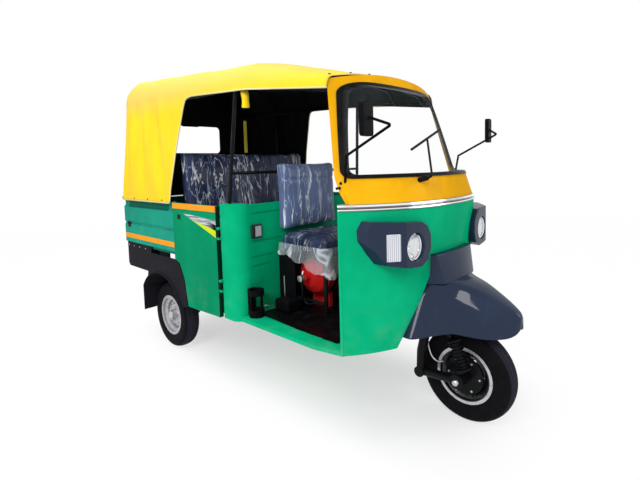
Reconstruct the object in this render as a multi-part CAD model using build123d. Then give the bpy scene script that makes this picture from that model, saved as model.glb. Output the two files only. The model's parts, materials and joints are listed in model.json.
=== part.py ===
"""Three-wheeled auto rickshaw with a canvas hood, in millimetres.

+X is forward, +Y is the vehicle's left and +Z is up. The origin is on the
ground below the middle of the vehicle.
"""

import math
import os

from build123d import *

# --- Overall sizes -------------------------------------------------------
WHEELBASE = 2000.0
REAR_TRACK = 1042.0
BODY_HALF_WIDTH = 625.0
REAR_OVERHANG = 601.0
FRONT_OVERHANG = 257.0
LAMP_PROUD = 16.0
LENGTH = LAMP_PROUD + REAR_OVERHANG + WHEELBASE + FRONT_OVERHANG
TAIL_X = -LENGTH / 2 + LAMP_PROUD
BED_REAR_X = TAIL_X + 10.0
REAR_AXLE_X = TAIL_X + REAR_OVERHANG
FRONT_AXLE_X = REAR_AXLE_X + WHEELBASE

# --- Wheels and tyres ----------------------------------------------------
TYRE_R = 236.0
TYRE_HALF_WIDTH = 57.0
RIM_R = 141.0
BEAD_R = 128.0
BEAD_HALF_WIDTH = 42.0
WHEEL_Y = REAR_TRACK / 2
HUB_BORE = 17.0
RUNNING_GAP = 0.05
MOVING_GAP = 8.0
SEAT_GAP = 0.3

# --- Floor and frame -----------------------------------------------------
FLOOR_Z = 448.0
FLOOR_THICK = 22.0
RAIL_Y = 280.0
RAIL_WIDTH = 44.0
RAIL_DEPTH = 65.0
DECK_Z = 734.0
DECK_THICK = 24.0
SILL_Z = 412.0
PAD_THICK = 4.0
RAIL_TOP = FLOOR_Z - FLOOR_THICK
KICK_TOP = DECK_Z - DECK_THICK

# --- Cab -----------------------------------------------------------------
COWL_REAR_X = FRONT_AXLE_X - 313.0
COWL_TOP_Z = 1090.0
COWL_BOTTOM_Z = 435.0
CHROME_DEPTH = 30.0
SCREEN_BOTTOM_Z = 1232.0
SCREEN_TOP_Z = 1702.0
CAB_TOP_Z = 1775.0
HEADER_CROWN = [(440.0, 1714.0), (0.0, 1758.0)]
PANEL = 22.0
# Rows of the cab's plan: height, rear edge x, nose x, half width.
CAB_ROWS = [
    (COWL_BOTTOM_Z, COWL_REAR_X, COWL_REAR_X + 199, BODY_HALF_WIDTH - 24),
    (870.0, COWL_REAR_X, COWL_REAR_X + 227, BODY_HALF_WIDTH - 21),
    (COWL_TOP_Z, COWL_REAR_X, COWL_REAR_X + 255, BODY_HALF_WIDTH - 19),
    (SCREEN_BOTTOM_Z, COWL_REAR_X - 59, COWL_REAR_X + 223, BODY_HALF_WIDTH - 61),
    (CAB_TOP_Z, COWL_REAR_X - 180, COWL_REAR_X - 101, BODY_HALF_WIDTH - 153),
]
PILLAR_WIDTH = 24.0
RUBBER = 17.0
SCREEN_CORNER = 56.0
DASH_LOW_Z = COWL_TOP_Z + CHROME_DEPTH + 38.0

# --- Lamps on the cowl ---------------------------------------------------
# Front view of the left bezel: half width, z. Plan of its face: half width, x.
BEZEL_OUTLINE = [
    (552, 1005), (536, 1046), (431, 1040), (304, 1030), (262, 1006), (238, 966), (236, 905), (258, 850),
    (312, 826), (392, 832), (486, 850), (514, 893), (548, 956),
]
BEZEL_FACE = [
    (200, COWL_REAR_X + 245), (300, COWL_REAR_X + 239), (424, COWL_REAR_X + 227), (500, COWL_REAR_X + 163),
    (540, COWL_REAR_X + 123), (600, COWL_REAR_X + 59),
]
LAMP_Y, LAMP_Z, LAMP_R, LAMP_DEPTH, LAMP_DOME = 352.0, 921.0, 64.0, 84.0, 8.0
LAMP_FACE_X = COWL_REAR_X + 225.0
SIGNAL_Y, SIGNAL_HALF, SIGNAL_LOW, SIGNAL_HIGH = 464.0, 26.0, 866.0, 990.0

# --- Front mudguard --------------------------------------------------------
GUARD_FOOT_Z = 2 * TYRE_R + 10.0
GUARD_GAP = 0.5
# Rows of the mudguard: x, foot half width, foot z, flank half width, flank z, top half width, top z.
GUARD_ROWS = [
    (FRONT_AXLE_X - 168, 344.0, GUARD_FOOT_Z, 216.0, GUARD_FOOT_Z + 218, 150.0, GUARD_FOOT_Z + 364),
    (FRONT_AXLE_X - 114, 338.0, GUARD_FOOT_Z, 212.0, GUARD_FOOT_Z + 218, 140.0, GUARD_FOOT_Z + 360),
    (FRONT_AXLE_X - 8, 164.0, GUARD_FOOT_Z, 138.0, GUARD_FOOT_Z + 158, 70.0, GUARD_FOOT_Z + 278),
    (FRONT_AXLE_X + 120, 138.0, GUARD_FOOT_Z, 112.0, GUARD_FOOT_Z + 118, 56.0, GUARD_FOOT_Z + 212),
    (FRONT_AXLE_X + 218, 72.0, GUARD_FOOT_Z + 6, 62.0, GUARD_FOOT_Z + 74, 34.0, GUARD_FOOT_Z + 140),
    (FRONT_AXLE_X + FRONT_OVERHANG, 20.0, GUARD_FOOT_Z + 38, 18.0, GUARD_FOOT_Z + 74, 12.0, GUARD_FOOT_Z + 98),
]

# --- Steering ------------------------------------------------------------
RAKE = 22.0
STEER_X = FRONT_AXLE_X - 26.0
STEM_R = 19.0
HEAD_TUBE_R = 31.0
HEAD_LOW_Z = 560.0
HEAD_HIGH_Z = 700.0
BAR_Z = 1040.0
LINK_Y = -112.0
LINK_BOSS_R = 27.0
LINK_PIVOT = (FRONT_AXLE_X - 203.0, LINK_Y, TYRE_R - 14)
FORK_R = 24.0
FORK_BEND_Z = TYRE_R + 94.0
SPRING_LOW = (FRONT_AXLE_X + 33, LINK_Y, TYRE_R + 62)
SPRING_HIGH = (FRONT_AXLE_X - 22, LINK_Y, TYRE_R + 198)
SPRING_SEAT = 8.0
FRONT_PLATE_IN = 34.0
FRONT_PLATE_OUT = 46.0

# --- Rear axle, engine and exhaust ---------------------------------------
ARM_PIVOT_X = REAR_AXLE_X + 360.0
ARM_PIVOT_Z = RAIL_TOP - RAIL_DEPTH - 22.0
ARM_Y = WHEEL_Y - 141.0
EXHAUST_X = REAR_AXLE_X - 440.0
ENGINE_HALF_WIDTH = 190.0
ENGINE_TOP_Z = KICK_TOP - 150.0
ARCH_R = TYRE_R + 86.0
FLAP_BACK = 262.0
FLAP_LOW_Z = 240.0

# --- Partition, doors and load bed ----------------------------------------
PARTITION_X = REAR_AXLE_X + 945.0
PARTITION_THICK = 26.0
BELT_Z = 1083.0
PILLAR_REAR_X = PARTITION_X - 160.0
PILLAR_RADIUS = 82.0
DOOR_FRONT_X = PILLAR_REAR_X - 27.0
DOOR_REAR_X = REAR_AXLE_X + 236.0
DOOR_THICK = 25.0
DOOR_PROUD = 12.0
HINGE_X = PILLAR_REAR_X - 15.0
HINGE_Y = BODY_HALF_WIDTH + 10.0
HINGE_ZS = (603.0, 915.0)
PIN_R = 5.0
BARREL_R = 8.5
WALL = 25.0
GATE_Z = DECK_Z + 20.0
GATE_PIN_R = 6.0

# --- Seats ---------------------------------------------------------------
SEAT_Y = -95.0
SEAT_HALF = 240.0
CUSHION_TOP = 895.0
CUSHION_THICK = 110.0
BACK_X = PARTITION_X + 0.4
SEAT_FRONT_X = PARTITION_X + 405.0
SEAT_BACK_TOP = 1325.0
BENCH_FRONT = PARTITION_X - 315.0
BENCH_BACK = DOOR_REAR_X - 56.0
BENCH_HALF = BODY_HALF_WIDTH - 65.0
BENCH_OVER_DECK = 26.0
BENCH_TOP = DECK_Z + BENCH_OVER_DECK
BENCH_BACK_TOP = 1412.0

# --- Hood ----------------------------------------------------------------
CANVAS = 6.0
EAVE_HALF = BODY_HALF_WIDTH - 51.0
# Rows of the hood: x, hem half width, eave half width, eave z, shoulder half width, shoulder z, crown z.
HOOD_ROWS = [
    (TAIL_X, EAVE_HALF + 70, EAVE_HALF, 1800.0, EAVE_HALF - 124, 1950.0, 1978.0),
    (TAIL_X + 130, EAVE_HALF + 69, EAVE_HALF - 1, 1798.0, EAVE_HALF - 119, 1996.0, 2026.0),
    (PARTITION_X + 55, EAVE_HALF + 62, EAVE_HALF - 6, 1742.0, EAVE_HALF - 119, 1876.0, 1914.0),
    (COWL_REAR_X - 151, EAVE_HALF - 14, EAVE_HALF - 74, 1664.0, EAVE_HALF - 134, 1726.0, 1770.0),
]
HEM_Z = 1070.0
WINDOW_Z, WINDOW_WIDTH, WINDOW_HEIGHT = 1560.0, 610.0, 250.0
BOW_R = 11.0
BOW_INSET = CANVAS + BOW_R + 1.2
RAIL_R = 10.0
GRAB_Z = 1264.0
POST_FOOT_X, POST_FOOT_Y, POST_TOP_X = PARTITION_X - 113, BODY_HALF_WIDTH - 37, PARTITION_X - 63


# --- Helpers ---------------------------------------------------------------
def block(x0, x1, y0, y1, z0, z1):
    """Box between two corners."""
    centre = Pos((x0 + x1) / 2, (y0 + y1) / 2, (z0 + z1) / 2)
    return centre * Box(x1 - x0, y1 - y0, z1 - z0)


def rod(start, end, radius):
    """Round bar between two points."""
    a, b = Vector(start), Vector(end)
    plane = Plane(origin=a, z_dir=b - a)
    return extrude(plane * Circle(radius), (b - a).length)


def tube_path(points, bends, radius):
    """Round bar along straight runs joined by tangent arcs."""
    path = FilletPolyline(*points, radius=bends)
    return sweep(Plane(origin=path @ 0, z_dir=path % 0) * Circle(radius), path=path)


def side_prism(points, y0, y1):
    """Side-view outline (x, z), extruded from y0 to y1."""
    plane = Plane(origin=(0, y1, 0), x_dir=(1, 0, 0), z_dir=(0, -1, 0))
    return extrude(plane * make_face(Polyline(*points, close=True)), y1 - y0)


def front_prism(points, x0, x1):
    """Front-view outline (y, z), extruded from x0 to x1."""
    plane = Plane(origin=(x0, 0, 0), x_dir=(0, 1, 0), z_dir=(1, 0, 0))
    return extrude(plane * make_face(Polyline(*points, close=True)), x1 - x0)


def disc(x, z, radius, y0, y1):
    """Cylinder across the vehicle."""
    plane = Plane(origin=(x, y1, z), x_dir=(1, 0, 0), z_dir=(0, -1, 0))
    return extrude(plane * Circle(radius), y1 - y0)


def turned(points, x, y, z):
    """Ring about an axis across the vehicle, from (radius, offset) points."""
    return Pos(x, y, z) * revolve(make_face(Polyline(*points, close=True)), Axis.Y)


def flipped(shape):
    """The same piece on the other side of the vehicle."""
    return shape.mirror(Plane.XZ)


def pair(shape):
    """A piece and its mirror image as separate solids."""
    return Compound(children=[*shape.solids(), *flipped(shape).solids()])


def save(name, shape):
    """Write one sub-part."""
    export_step(shape, f"parts/{name}.step")


# --- Wheels ----------------------------------------------------------------
def tyre(x, y):
    """Road tyre with a rounded shoulder, seated on its rim."""
    outline = [
        (BEAD_R, BEAD_HALF_WIDTH), (BEAD_R + 14, BEAD_HALF_WIDTH + 4), (176, TYRE_HALF_WIDTH),
        (202, TYRE_HALF_WIDTH - 1), (221, TYRE_HALF_WIDTH - 9), (231, 34), (TYRE_R, 16),
    ]
    mirrored = [(r, -a) for r, a in reversed(outline)]
    return turned(outline + mirrored, x, y, TYRE_R)


def rim(x, y, face, hub_r, hub_out, windows):
    """Pressed wheel: barrel, dished disc with hand holes, hub and nut circle."""
    half, lip = BEAD_HALF_WIDTH, RIM_R + 5
    barrel = [
        (lip, half + 8), (lip, half + 6), (BEAD_R + 1, half + 5), (BEAD_R, half), (BEAD_R, 30), (108, 20),
        (108, -20), (BEAD_R, -30), (BEAD_R, -half), (BEAD_R + 1, -half - 5), (lip, -half - 6),
        (lip, -half - 8), (BEAD_R - 4, -half - 8), (BEAD_R - 4, -32), (104, -22), (104, 22), (BEAD_R - 4, 32),
        (BEAD_R - 4, half + 8),
    ]
    dish = [
        (104.5, 4), (104.5, -2), (88, 10), (70, 14), (52, 8), (hub_r, 8), (hub_r, -44), (HUB_BORE, -44),
        (HUB_BORE, hub_out), (hub_r - 8, hub_out), (hub_r, 14), (52, 14), (70, 20), (90, 16),
    ]
    disc_part = turned([(r, face * a) for r, a in dish], x, y, TYRE_R)
    for index in range(windows):
        turn = 360.0 * index / windows
        hole = Pos(x, y, TYRE_R) * Rot(0, turn, 0) * disc(80, 0, 9, -40, 40)
        disc_part -= hole
    return turned(barrel, x, y, TYRE_R) + disc_part


# --- Cab shell ---------------------------------------------------------------
def cab_outline(row, grow):
    """Plan of the cab at one height: a flat-arched nose with quick corner arcs."""
    height, rear, nose, half = row
    nose, half = nose + grow, half + grow
    depth = nose - rear
    corner = (nose - 0.105 * depth, 0.40 * half)
    side = (nose - 0.49 * depth, 0.75 * half)
    outline = [
        Line((rear, half), (rear, -half)),
        ThreePointArc((rear, -half), (side[0], -side[1]), (corner[0], -corner[1])),
        ThreePointArc((corner[0], -corner[1]), (nose, 0), corner),
        ThreePointArc(corner, side, (rear, half)),
    ]
    return Pos(0, 0, height) * make_face(outline)


def cab_form(grow, rows):
    """Solid cab form, grown by a distance in plan."""
    return loft([cab_outline(row, grow) for row in rows], ruled=True)


def extended(rows, low, high):
    """The same rows with the ends moved up or down along their own slopes."""
    def along(a, b, z):
        t = (z - a[0]) / (b[0] - a[0])
        return (z, *[p + (q - p) * t for p, q in zip(a[1:], b[1:])])

    return [along(rows[0], rows[1], low), *rows[1:-1], along(rows[-2], rows[-1], high)]


LOWER_ROWS = CAB_ROWS[:3]
UPPER_ROWS = extended([(COWL_TOP_Z, *CAB_ROWS[2][1:]), CAB_ROWS[3], CAB_ROWS[4]], COWL_TOP_Z, CAB_TOP_Z)


def pillar_edge(z):
    """Rear edge of the windscreen pillar in side view."""
    t = (z - SCREEN_BOTTOM_Z) / (CAB_TOP_Z - SCREEN_BOTTOM_Z)
    low, high = CAB_ROWS[3][1], CAB_ROWS[4][1]
    return low + (high - low) * t


def screen_cutter(inset):
    """Windscreen opening in side view, shrunk by a distance, right across the cab."""
    low, high = SCREEN_BOTTOM_Z + inset, SCREEN_TOP_Z - inset
    back = PILLAR_WIDTH + inset
    far_x, reach = FRONT_AXLE_X + 120, BODY_HALF_WIDTH + 75
    points = [(pillar_edge(low) + back, low), (pillar_edge(high) + back, high), (far_x, high), (far_x, low)]
    plane = Plane(origin=(0, reach, 0), x_dir=(1, 0, 0), z_dir=(0, -1, 0))
    face = plane * make_face(Polyline(*points, close=True))
    corners = [vertex for vertex in face.vertices() if vertex.X < far_x - 1]
    return extrude(fillet(corners, SCREEN_CORNER - inset), 2 * reach)


def screen_band(outer, inner, inset):
    """Curved sheet between two growths of the cab form, inside the opening."""
    form = cab_form(outer, UPPER_ROWS) - cab_form(inner, UPPER_ROWS)
    return form & screen_cutter(inset)


# --- Front mudguard -----------------------------------------------------------
def guard_section(row, shrink):
    """Arched section of the mudguard: two flanks and a crowned top."""
    x, foot, foot_z, flank, flank_z, top, top_z = row
    foot, flank, top = foot - shrink, flank - shrink, top - shrink * 0.6
    flank_z, top_z = flank_z - shrink * 0.3, top_z - shrink
    edges = [
        Line((-foot, foot_z), (foot, foot_z)),
        Line((foot, foot_z), (flank, flank_z)),
        Line((flank, flank_z), (top, top_z - top * 0.16)),
        ThreePointArc((top, top_z - top * 0.16), (0, top_z), (-top, top_z - top * 0.16)),
        Line((-top, top_z - top * 0.16), (-flank, flank_z)),
        Line((-flank, flank_z), (-foot, foot_z)),
    ]
    plane = Plane(origin=(x, 0, 0), x_dir=(0, 1, 0), z_dir=(1, 0, 0))
    return plane * make_face(edges)


def guard_form(shrink, rows):
    """Solid mudguard form."""
    return loft([guard_section(row, shrink) for row in rows], ruled=True)


def front_mudguard():
    """Beaked mudguard shell, open below and behind."""
    inner_rows = [(GUARD_ROWS[0][0] - 10, *GUARD_ROWS[0][1:]), *GUARD_ROWS[1:5]]
    inner = guard_form(6, inner_rows)
    below = block(FRONT_AXLE_X - 280, FRONT_AXLE_X + 320, -400, 400, 400, GUARD_FOOT_Z + 0.01)
    shell = guard_form(0, GUARD_ROWS) - inner - below
    slot = guard_form(6, [(x, a, GUARD_FOOT_Z - 20, b, c, d, e) for x, a, _, b, c, d, e in inner_rows])
    return shell - slot


# --- Canvas hood -----------------------------------------------------------------
def hood_section(row, shrink):
    """Section of the hood: leaning sides, round shoulders and a low crown."""
    x, hem, eave, eave_z, shoulder, shoulder_z, crown = row
    hem, eave, shoulder = hem - shrink, eave - shrink, shoulder - shrink * 0.7
    shoulder_z, crown = shoulder_z - shrink * 0.9, crown - shrink
    bulge_y = shoulder + (eave - shoulder) * 0.74
    bulge_z = eave_z + (shoulder_z - eave_z) * 0.70
    foot = HEM_Z - shrink * 4
    edges = [
        Line((-hem, foot), (hem, foot)),
        Line((hem, foot), (eave, eave_z)),
        ThreePointArc((eave, eave_z), (bulge_y, bulge_z), (shoulder, shoulder_z)),
        ThreePointArc((shoulder, shoulder_z), (0, crown), (-shoulder, shoulder_z)),
        ThreePointArc((-shoulder, shoulder_z), (-bulge_y, bulge_z), (-eave, eave_z)),
        Line((-eave, eave_z), (-hem, foot)),
    ]
    plane = Plane(origin=(x, 0, 0), x_dir=(0, 1, 0), z_dir=(1, 0, 0))
    return plane * make_face(edges)


def canvas_hood():
    """Canvas hood as a closed shell: roof, back with its window, rear quarters."""
    outer = loft([hood_section(row, 0) for row in HOOD_ROWS], ruled=True)
    first, *middle, last = HOOD_ROWS
    rows = [(first[0] + CANVAS, *first[1:]), *middle, (last[0] + 1, *last[1:])]
    inner = loft([hood_section(row, CANVAS) for row in rows], ruled=True)
    shell = outer - inner
    rear = [(-28, 1000), (-22, 1159), (31, 1424), (106, 1700), (122, 1738), (154, 1752), (204, 1756)]
    front = [(HOOD_ROWS[2][0], 1720), (HOOD_ROWS[3][0] + 8, 1660), (HOOD_ROWS[3][0] + 184, 1640)]
    opening = [(DOOR_REAR_X + x, z) for x, z in rear] + front + [(front[-1][0], 1000)]
    shell -= side_prism(opening, -800, 800)
    plane = Plane(origin=(TAIL_X - 20, 0, WINDOW_Z), x_dir=(0, 1, 0), z_dir=(1, 0, 0))
    return shell - extrude(plane * RectangleRounded(WINDOW_WIDTH, WINDOW_HEIGHT, 40), 60)


def hood_row(x):
    """Half widths and heights of the hood at any x."""
    for low, high in zip(HOOD_ROWS, HOOD_ROWS[1:]):
        if x <= high[0]:
            break
    t = (x - low[0]) / (high[0] - low[0])
    return [p + (q - p) * t for p, q in zip(low[2:], high[2:])]


def eave_point(x, side):
    """Where a bow meets the eave rail."""
    eave, eave_z = hood_row(x)[:2]
    return (x, side * (eave - BOW_INSET), eave_z - 10)


def bow(x, foot=None):
    """One bow of the hood frame, inside the canvas, with legs down to a foot if it has one."""
    _, _, shoulder, shoulder_z, crown = hood_row(x)
    half = [eave_point(x, 1), (x, shoulder - 22, shoulder_z - 26), (x, 0, crown - BOW_INSET - 4)]
    if foot is not None:
        half.insert(0, (x, half[0][1], foot))
    points = [(a, -b, c) for a, b, c in half] + half[-2::-1]
    return tube_path(points, 70, BOW_R)


# --- Running gear ----------------------------------------------------------------
def head_x(z):
    """Steering axis x at a height."""
    return STEER_X - (z - TYRE_R) * math.tan(math.radians(RAKE))


def head_point(z, y=0.0):
    """Point on the steering axis at a height."""
    return (head_x(z), y, z)


def chassis_frame():
    """Two rails kicked up over the rear axle, cross tubes and the steering head."""
    kick_x, rail_end, beam_x = REAR_AXLE_X + 160, COWL_REAR_X - 7, COWL_REAR_X - 367
    rail = [
        (TAIL_X + WALL + 5, KICK_TOP), (kick_x, KICK_TOP), (kick_x + 150, RAIL_TOP), (rail_end, RAIL_TOP),
        (rail_end, RAIL_TOP - RAIL_DEPTH), (kick_x + 118, RAIL_TOP - RAIL_DEPTH),
        (kick_x - 32, KICK_TOP - RAIL_DEPTH), (TAIL_X + WALL + 5, KICK_TOP - RAIL_DEPTH),
    ]
    frame = side_prism(rail, RAIL_Y - RAIL_WIDTH / 2, RAIL_Y + RAIL_WIDTH / 2)
    frame += flipped(frame)
    mid = RAIL_DEPTH / 2
    hangers = (REAR_AXLE_X - 240, REAR_AXLE_X + 110)
    for x in (TAIL_X + 70, EXHAUST_X, *hangers):
        frame += disc(x, KICK_TOP - mid, 22, -RAIL_Y, RAIL_Y)
    for x in (PILLAR_REAR_X - 25, beam_x):
        frame += disc(x, RAIL_TOP - mid, 22, -RAIL_Y, RAIL_Y)
    for x in hangers:
        frame += block(x - 20, x + 20, -45, 45, ENGINE_TOP_Z, KICK_TOP - mid)
    frame += disc(ARM_PIVOT_X, ARM_PIVOT_Z, 24, -ARM_Y + 45, ARM_Y - 45)
    frame += block(rail_end - 40, rail_end, -RAIL_Y, RAIL_Y, RAIL_TOP - RAIL_DEPTH, RAIL_TOP)
    beam = [
        (beam_x, RAIL_TOP), (rail_end + 10, RAIL_TOP), (head_x(690), 690), (head_x(612), 612),
        (rail_end + 45, RAIL_TOP - 26), (rail_end + 20, RAIL_TOP - RAIL_DEPTH),
        (beam_x, RAIL_TOP - RAIL_DEPTH),
    ]
    frame += side_prism(beam, -32, 32)
    frame += rod(head_point(HEAD_LOW_Z), head_point(HEAD_HIGH_Z), HEAD_TUBE_R)
    return frame - rod(head_point(HEAD_LOW_Z - 60), head_point(HEAD_HIGH_Z + 60), STEM_R + 0.6)


def rear_axle():
    """Half shafts and trailing arms that carry the rear wheels."""
    hub_inner = WHEEL_Y - 44.0
    shaft = disc(REAR_AXLE_X, TYRE_R, HUB_BORE - RUNNING_GAP, ENGINE_HALF_WIDTH, WHEEL_Y + 46)
    arm = rod((ARM_PIVOT_X, ARM_Y, ARM_PIVOT_Z), (REAR_AXLE_X, ARM_Y + 12, TYRE_R), 26)
    arm += disc(ARM_PIVOT_X, ARM_PIVOT_Z, 34, ARM_Y - 44, ARM_Y + 30)
    arm += disc(REAR_AXLE_X, TYRE_R, 44, ARM_Y - 24, hub_inner - 8)
    arm += rod((REAR_AXLE_X - 10, ARM_Y + 14, TYRE_R), (REAR_AXLE_X - 10, ARM_Y + 14, TYRE_R + 70), 20)
    return pair(arm + shaft)


def coil_spring(bottom, top, radius, wire, turns):
    """Coil wound round its damper."""
    a, b = Vector(bottom), Vector(top)
    length = (b - a).length
    pitch = (length - 2 * SPRING_SEAT) / turns
    core = radius - 2 * wire
    crest, seat_r = radius - wire * 0.4, radius + 3
    outline = [(0, 0), (seat_r, 0), (seat_r, SPRING_SEAT), (core, SPRING_SEAT)]
    for index in range(turns):
        low = SPRING_SEAT + pitch * index
        outline += [(core, low + pitch * 0.18), (crest, low + pitch * 0.30), (radius, low + pitch * 0.5)]
        outline += [(crest, low + pitch * 0.70), (core, low + pitch * 0.82)]
    outline += [(core, length - SPRING_SEAT), (seat_r, length - SPRING_SEAT), (seat_r, length), (0, length)]
    profile = Plane.XZ * make_face(Polyline(*outline, close=True))
    return Plane(origin=a, z_dir=b - a) * revolve(profile, Axis.Z)


def rear_springs():
    """Spring and damper from each trailing arm up to the kicked-up rail."""
    y = ARM_Y + 14
    low = (REAR_AXLE_X - 10, y, TYRE_R + 71.9)
    high = (REAR_AXLE_X - 10, y - 30, KICK_TOP - 6)
    bracket = block(low[0] - 30, low[0] + 30, RAIL_Y + RAIL_WIDTH / 2, y + 10, KICK_TOP - 14, KICK_TOP)
    return pair(coil_spring(low, high, 38, 7, 7) + bracket)


def engine_block():
    """Engine and gearbox as one plain mass between the rear wheels."""
    x = REAR_AXLE_X
    outline = [
        (x - 330, 300), (x - 300, 250), (x + 60, TYRE_R - 70), (x + 110, TYRE_R - 40), (x + 190, 300),
        (x + 190, 470), (x + 150, ENGINE_TOP_Z), (x - 300, ENGINE_TOP_Z), (x - 330, 520),
    ]
    return side_prism(outline, -ENGINE_HALF_WIDTH, ENGINE_HALF_WIDTH)


def exhaust():
    """Silencer across the back with its tail pipe and hanger."""
    x = EXHAUST_X
    can = disc(x, 380, 62, -230, 170)
    can += tube_path([(x, -150, 320), (x, -150, 262), (x - 90, -150, 250)], 26, 17)
    can += rod((x + 40, 60, 380), (REAR_AXLE_X - 330, 60, 380), 16)
    return can + block(x - 12, x + 12, -60, -30, 430, KICK_TOP - RAIL_DEPTH / 2 - 22.3)


def steering_fork():
    """Stem, crown and the bent arm that carries the leading link."""
    crown = head_point(HEAD_LOW_Z - 26)
    stem = rod(head_point(HEAD_LOW_Z - 40), head_point(BAR_Z), STEM_R)
    yoke = rod(head_point(HEAD_LOW_Z - 44), head_point(HEAD_LOW_Z - 5), 44)
    knee = (crown[0] - 10, LINK_Y, crown[2] - 20)
    bend = (LINK_PIVOT[0] + 4, LINK_Y, FORK_BEND_Z)
    arm = tube_path([(crown[0], 0, crown[2]), knee, bend, LINK_PIVOT], [28, 60], FORK_R)
    top = (FRONT_AXLE_X - 26, LINK_Y, 452)
    arm += rod((crown[0] - 6, LINK_Y + 8, crown[2] - 26), top, 19)
    arm += disc(LINK_PIVOT[0], LINK_PIVOT[2], LINK_BOSS_R, LINK_Y - 26, LINK_Y + 26)
    return stem + yoke + arm


def leading_link():
    """Link from the fork's pivot forward to the brake plate and stub axle."""
    x, z = LINK_PIVOT[0], LINK_PIVOT[2]
    plate = disc(FRONT_AXLE_X, TYRE_R, 96, -FRONT_PLATE_OUT, -FRONT_PLATE_IN)
    link = rod((x, LINK_Y, z), (FRONT_AXLE_X, LINK_Y, TYRE_R), 22)
    link -= disc(x, z, LINK_BOSS_R + SEAT_GAP, LINK_Y - 60, LINK_Y + 60)
    link += disc(FRONT_AXLE_X, TYRE_R, 34, LINK_Y - 24, -FRONT_PLATE_IN - 2)
    link += disc(FRONT_AXLE_X, TYRE_R, HUB_BORE - RUNNING_GAP, -FRONT_PLATE_OUT, 60)
    ear = [(-10, 18), (46, 60), (20, 66), (-20, 30)]
    ear = [(FRONT_AXLE_X + dx, TYRE_R + dz) for dx, dz in ear]
    link -= rod((x, LINK_Y, z), (x + 4, LINK_Y, FORK_BEND_Z), FORK_R + SEAT_GAP)
    seat = Vector(SPRING_LOW) - SEAT_GAP * (Vector(SPRING_HIGH) - Vector(SPRING_LOW)).normalized()
    return link + plate + (side_prism(ear, LINK_Y - 14, LINK_Y + 14) - rod(tuple(seat), SPRING_HIGH, 38))


def front_spring():
    """Spring and damper between the link and the fork."""
    return coil_spring(SPRING_LOW, SPRING_HIGH, 32, 6, 8)


def handlebar():
    """Bar across the stem with its two grips."""
    x, _, z = head_point(BAR_Z)
    points = [(x - 60, -330, z - 10), (x - 20, -170, z + 30), (x, -60, z + 14), (x, 60, z + 14),
              (x - 20, 170, z + 30), (x - 60, 330, z - 10)]
    bar = tube_path(points, 50, 11)
    for side in (-1, 1):
        bar += rod((x - 60, side * 330, z - 10), (x - 34, side * 226, z + 16), 17)
    return bar + rod(head_point(BAR_Z), head_point(BAR_Z + 26), 30)


# --- Floor and bulkheads ---------------------------------------------------------
def floor_pan():
    """Driver's and passengers' floor with its turned-down edge and front bulkhead."""
    half = BODY_HALF_WIDTH - 6
    low = FLOOR_Z - FLOOR_THICK
    behind = BODY_HALF_WIDTH - DOOR_THICK + DOOR_PROUD - MOVING_GAP
    between = BODY_HALF_WIDTH - PILLAR_RADIUS
    start = PARTITION_X + 1
    mouth_x, mouth_y = COWL_REAR_X - 16, BODY_HALF_WIDTH - 35
    taper_x = COWL_REAR_X - 167
    left = [(mouth_x, mouth_y), (taper_x, half), (start, half)]
    plan = [(x, -y) for x, y in reversed(left)] + left
    pan = Pos(0, 0, low) * extrude(make_face(Polyline(*plan, close=True)), FLOOR_THICK)
    pan += block(PILLAR_REAR_X - 2, start, -between, between, low, FLOOR_Z)
    pan += block(DOOR_REAR_X + 84, PILLAR_REAR_X - 2, -behind, behind, low, FLOOR_Z)
    pan += block(SEAT_FRONT_X + 15, taper_x - 10, -half + 60, half - 60, FLOOR_Z, FLOOR_Z + PAD_THICK)
    wall = [
        (mouth_x - 16, FLOOR_Z - 4), (mouth_x, FLOOR_Z - 4), (COWL_REAR_X - 1, 600), (COWL_REAR_X + 133, 858),
        (COWL_REAR_X + 117, 864), (mouth_x - 1, 606),
    ]
    inside = Pos(-1, 0, 0) * cab_form(-PANEL - 0.5, extended(LOWER_ROWS, low - 20, COWL_TOP_Z))
    wall_half = BODY_HALF_WIDTH - 195
    inside += block(COWL_REAR_X - 67, COWL_REAR_X, -wall_half - 20, wall_half + 20, low, COWL_TOP_Z)
    pan += side_prism(wall, -wall_half, wall_half) & inside
    return pan - rod(head_point(520), head_point(900), HEAD_TUBE_R + 6)


def load_deck():
    """Load floor behind the seats: a raised middle, and the tailgate's hinge rod on its rear edge."""
    half = BODY_HALF_WIDTH - WALL
    deck = block(BED_REAR_X + 4, DOOR_REAR_X + 2, -half, half, DECK_Z - DECK_THICK, DECK_Z)
    deck += block(BED_REAR_X + 71, BENCH_BACK - 20, -half + 80, half - 80, DECK_Z, DECK_Z + PAD_THICK)
    ear = block(BED_REAR_X + 4, BED_REAR_X + 24, half - 22, half - 6, DECK_Z - 4, GATE_Z + 8)
    pin = disc(BED_REAR_X + 13, GATE_Z, GATE_PIN_R, -half + 10, half - 10)
    return deck + ear + flipped(ear) + pin


def partition():
    """Bulkhead behind the driver with three pressed ribs and a folded top rail."""
    inner = BODY_HALF_WIDTH - PILLAR_RADIUS
    panel = block(PARTITION_X - PARTITION_THICK, PARTITION_X, -inner, inner, FLOOR_Z, BELT_Z)
    for z, length in ((1030, 420), (866, 420), (776, 300), (722, 240)):
        for side in (-1, 1):
            y0, y1 = sorted((side * (inner - 20), side * (inner - 20 - length * 0.55)))
            groove = block(PARTITION_X - 5, PARTITION_X + 5, y0, y1, z - 6, z + 6)
            panel -= groove
    return panel


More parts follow.
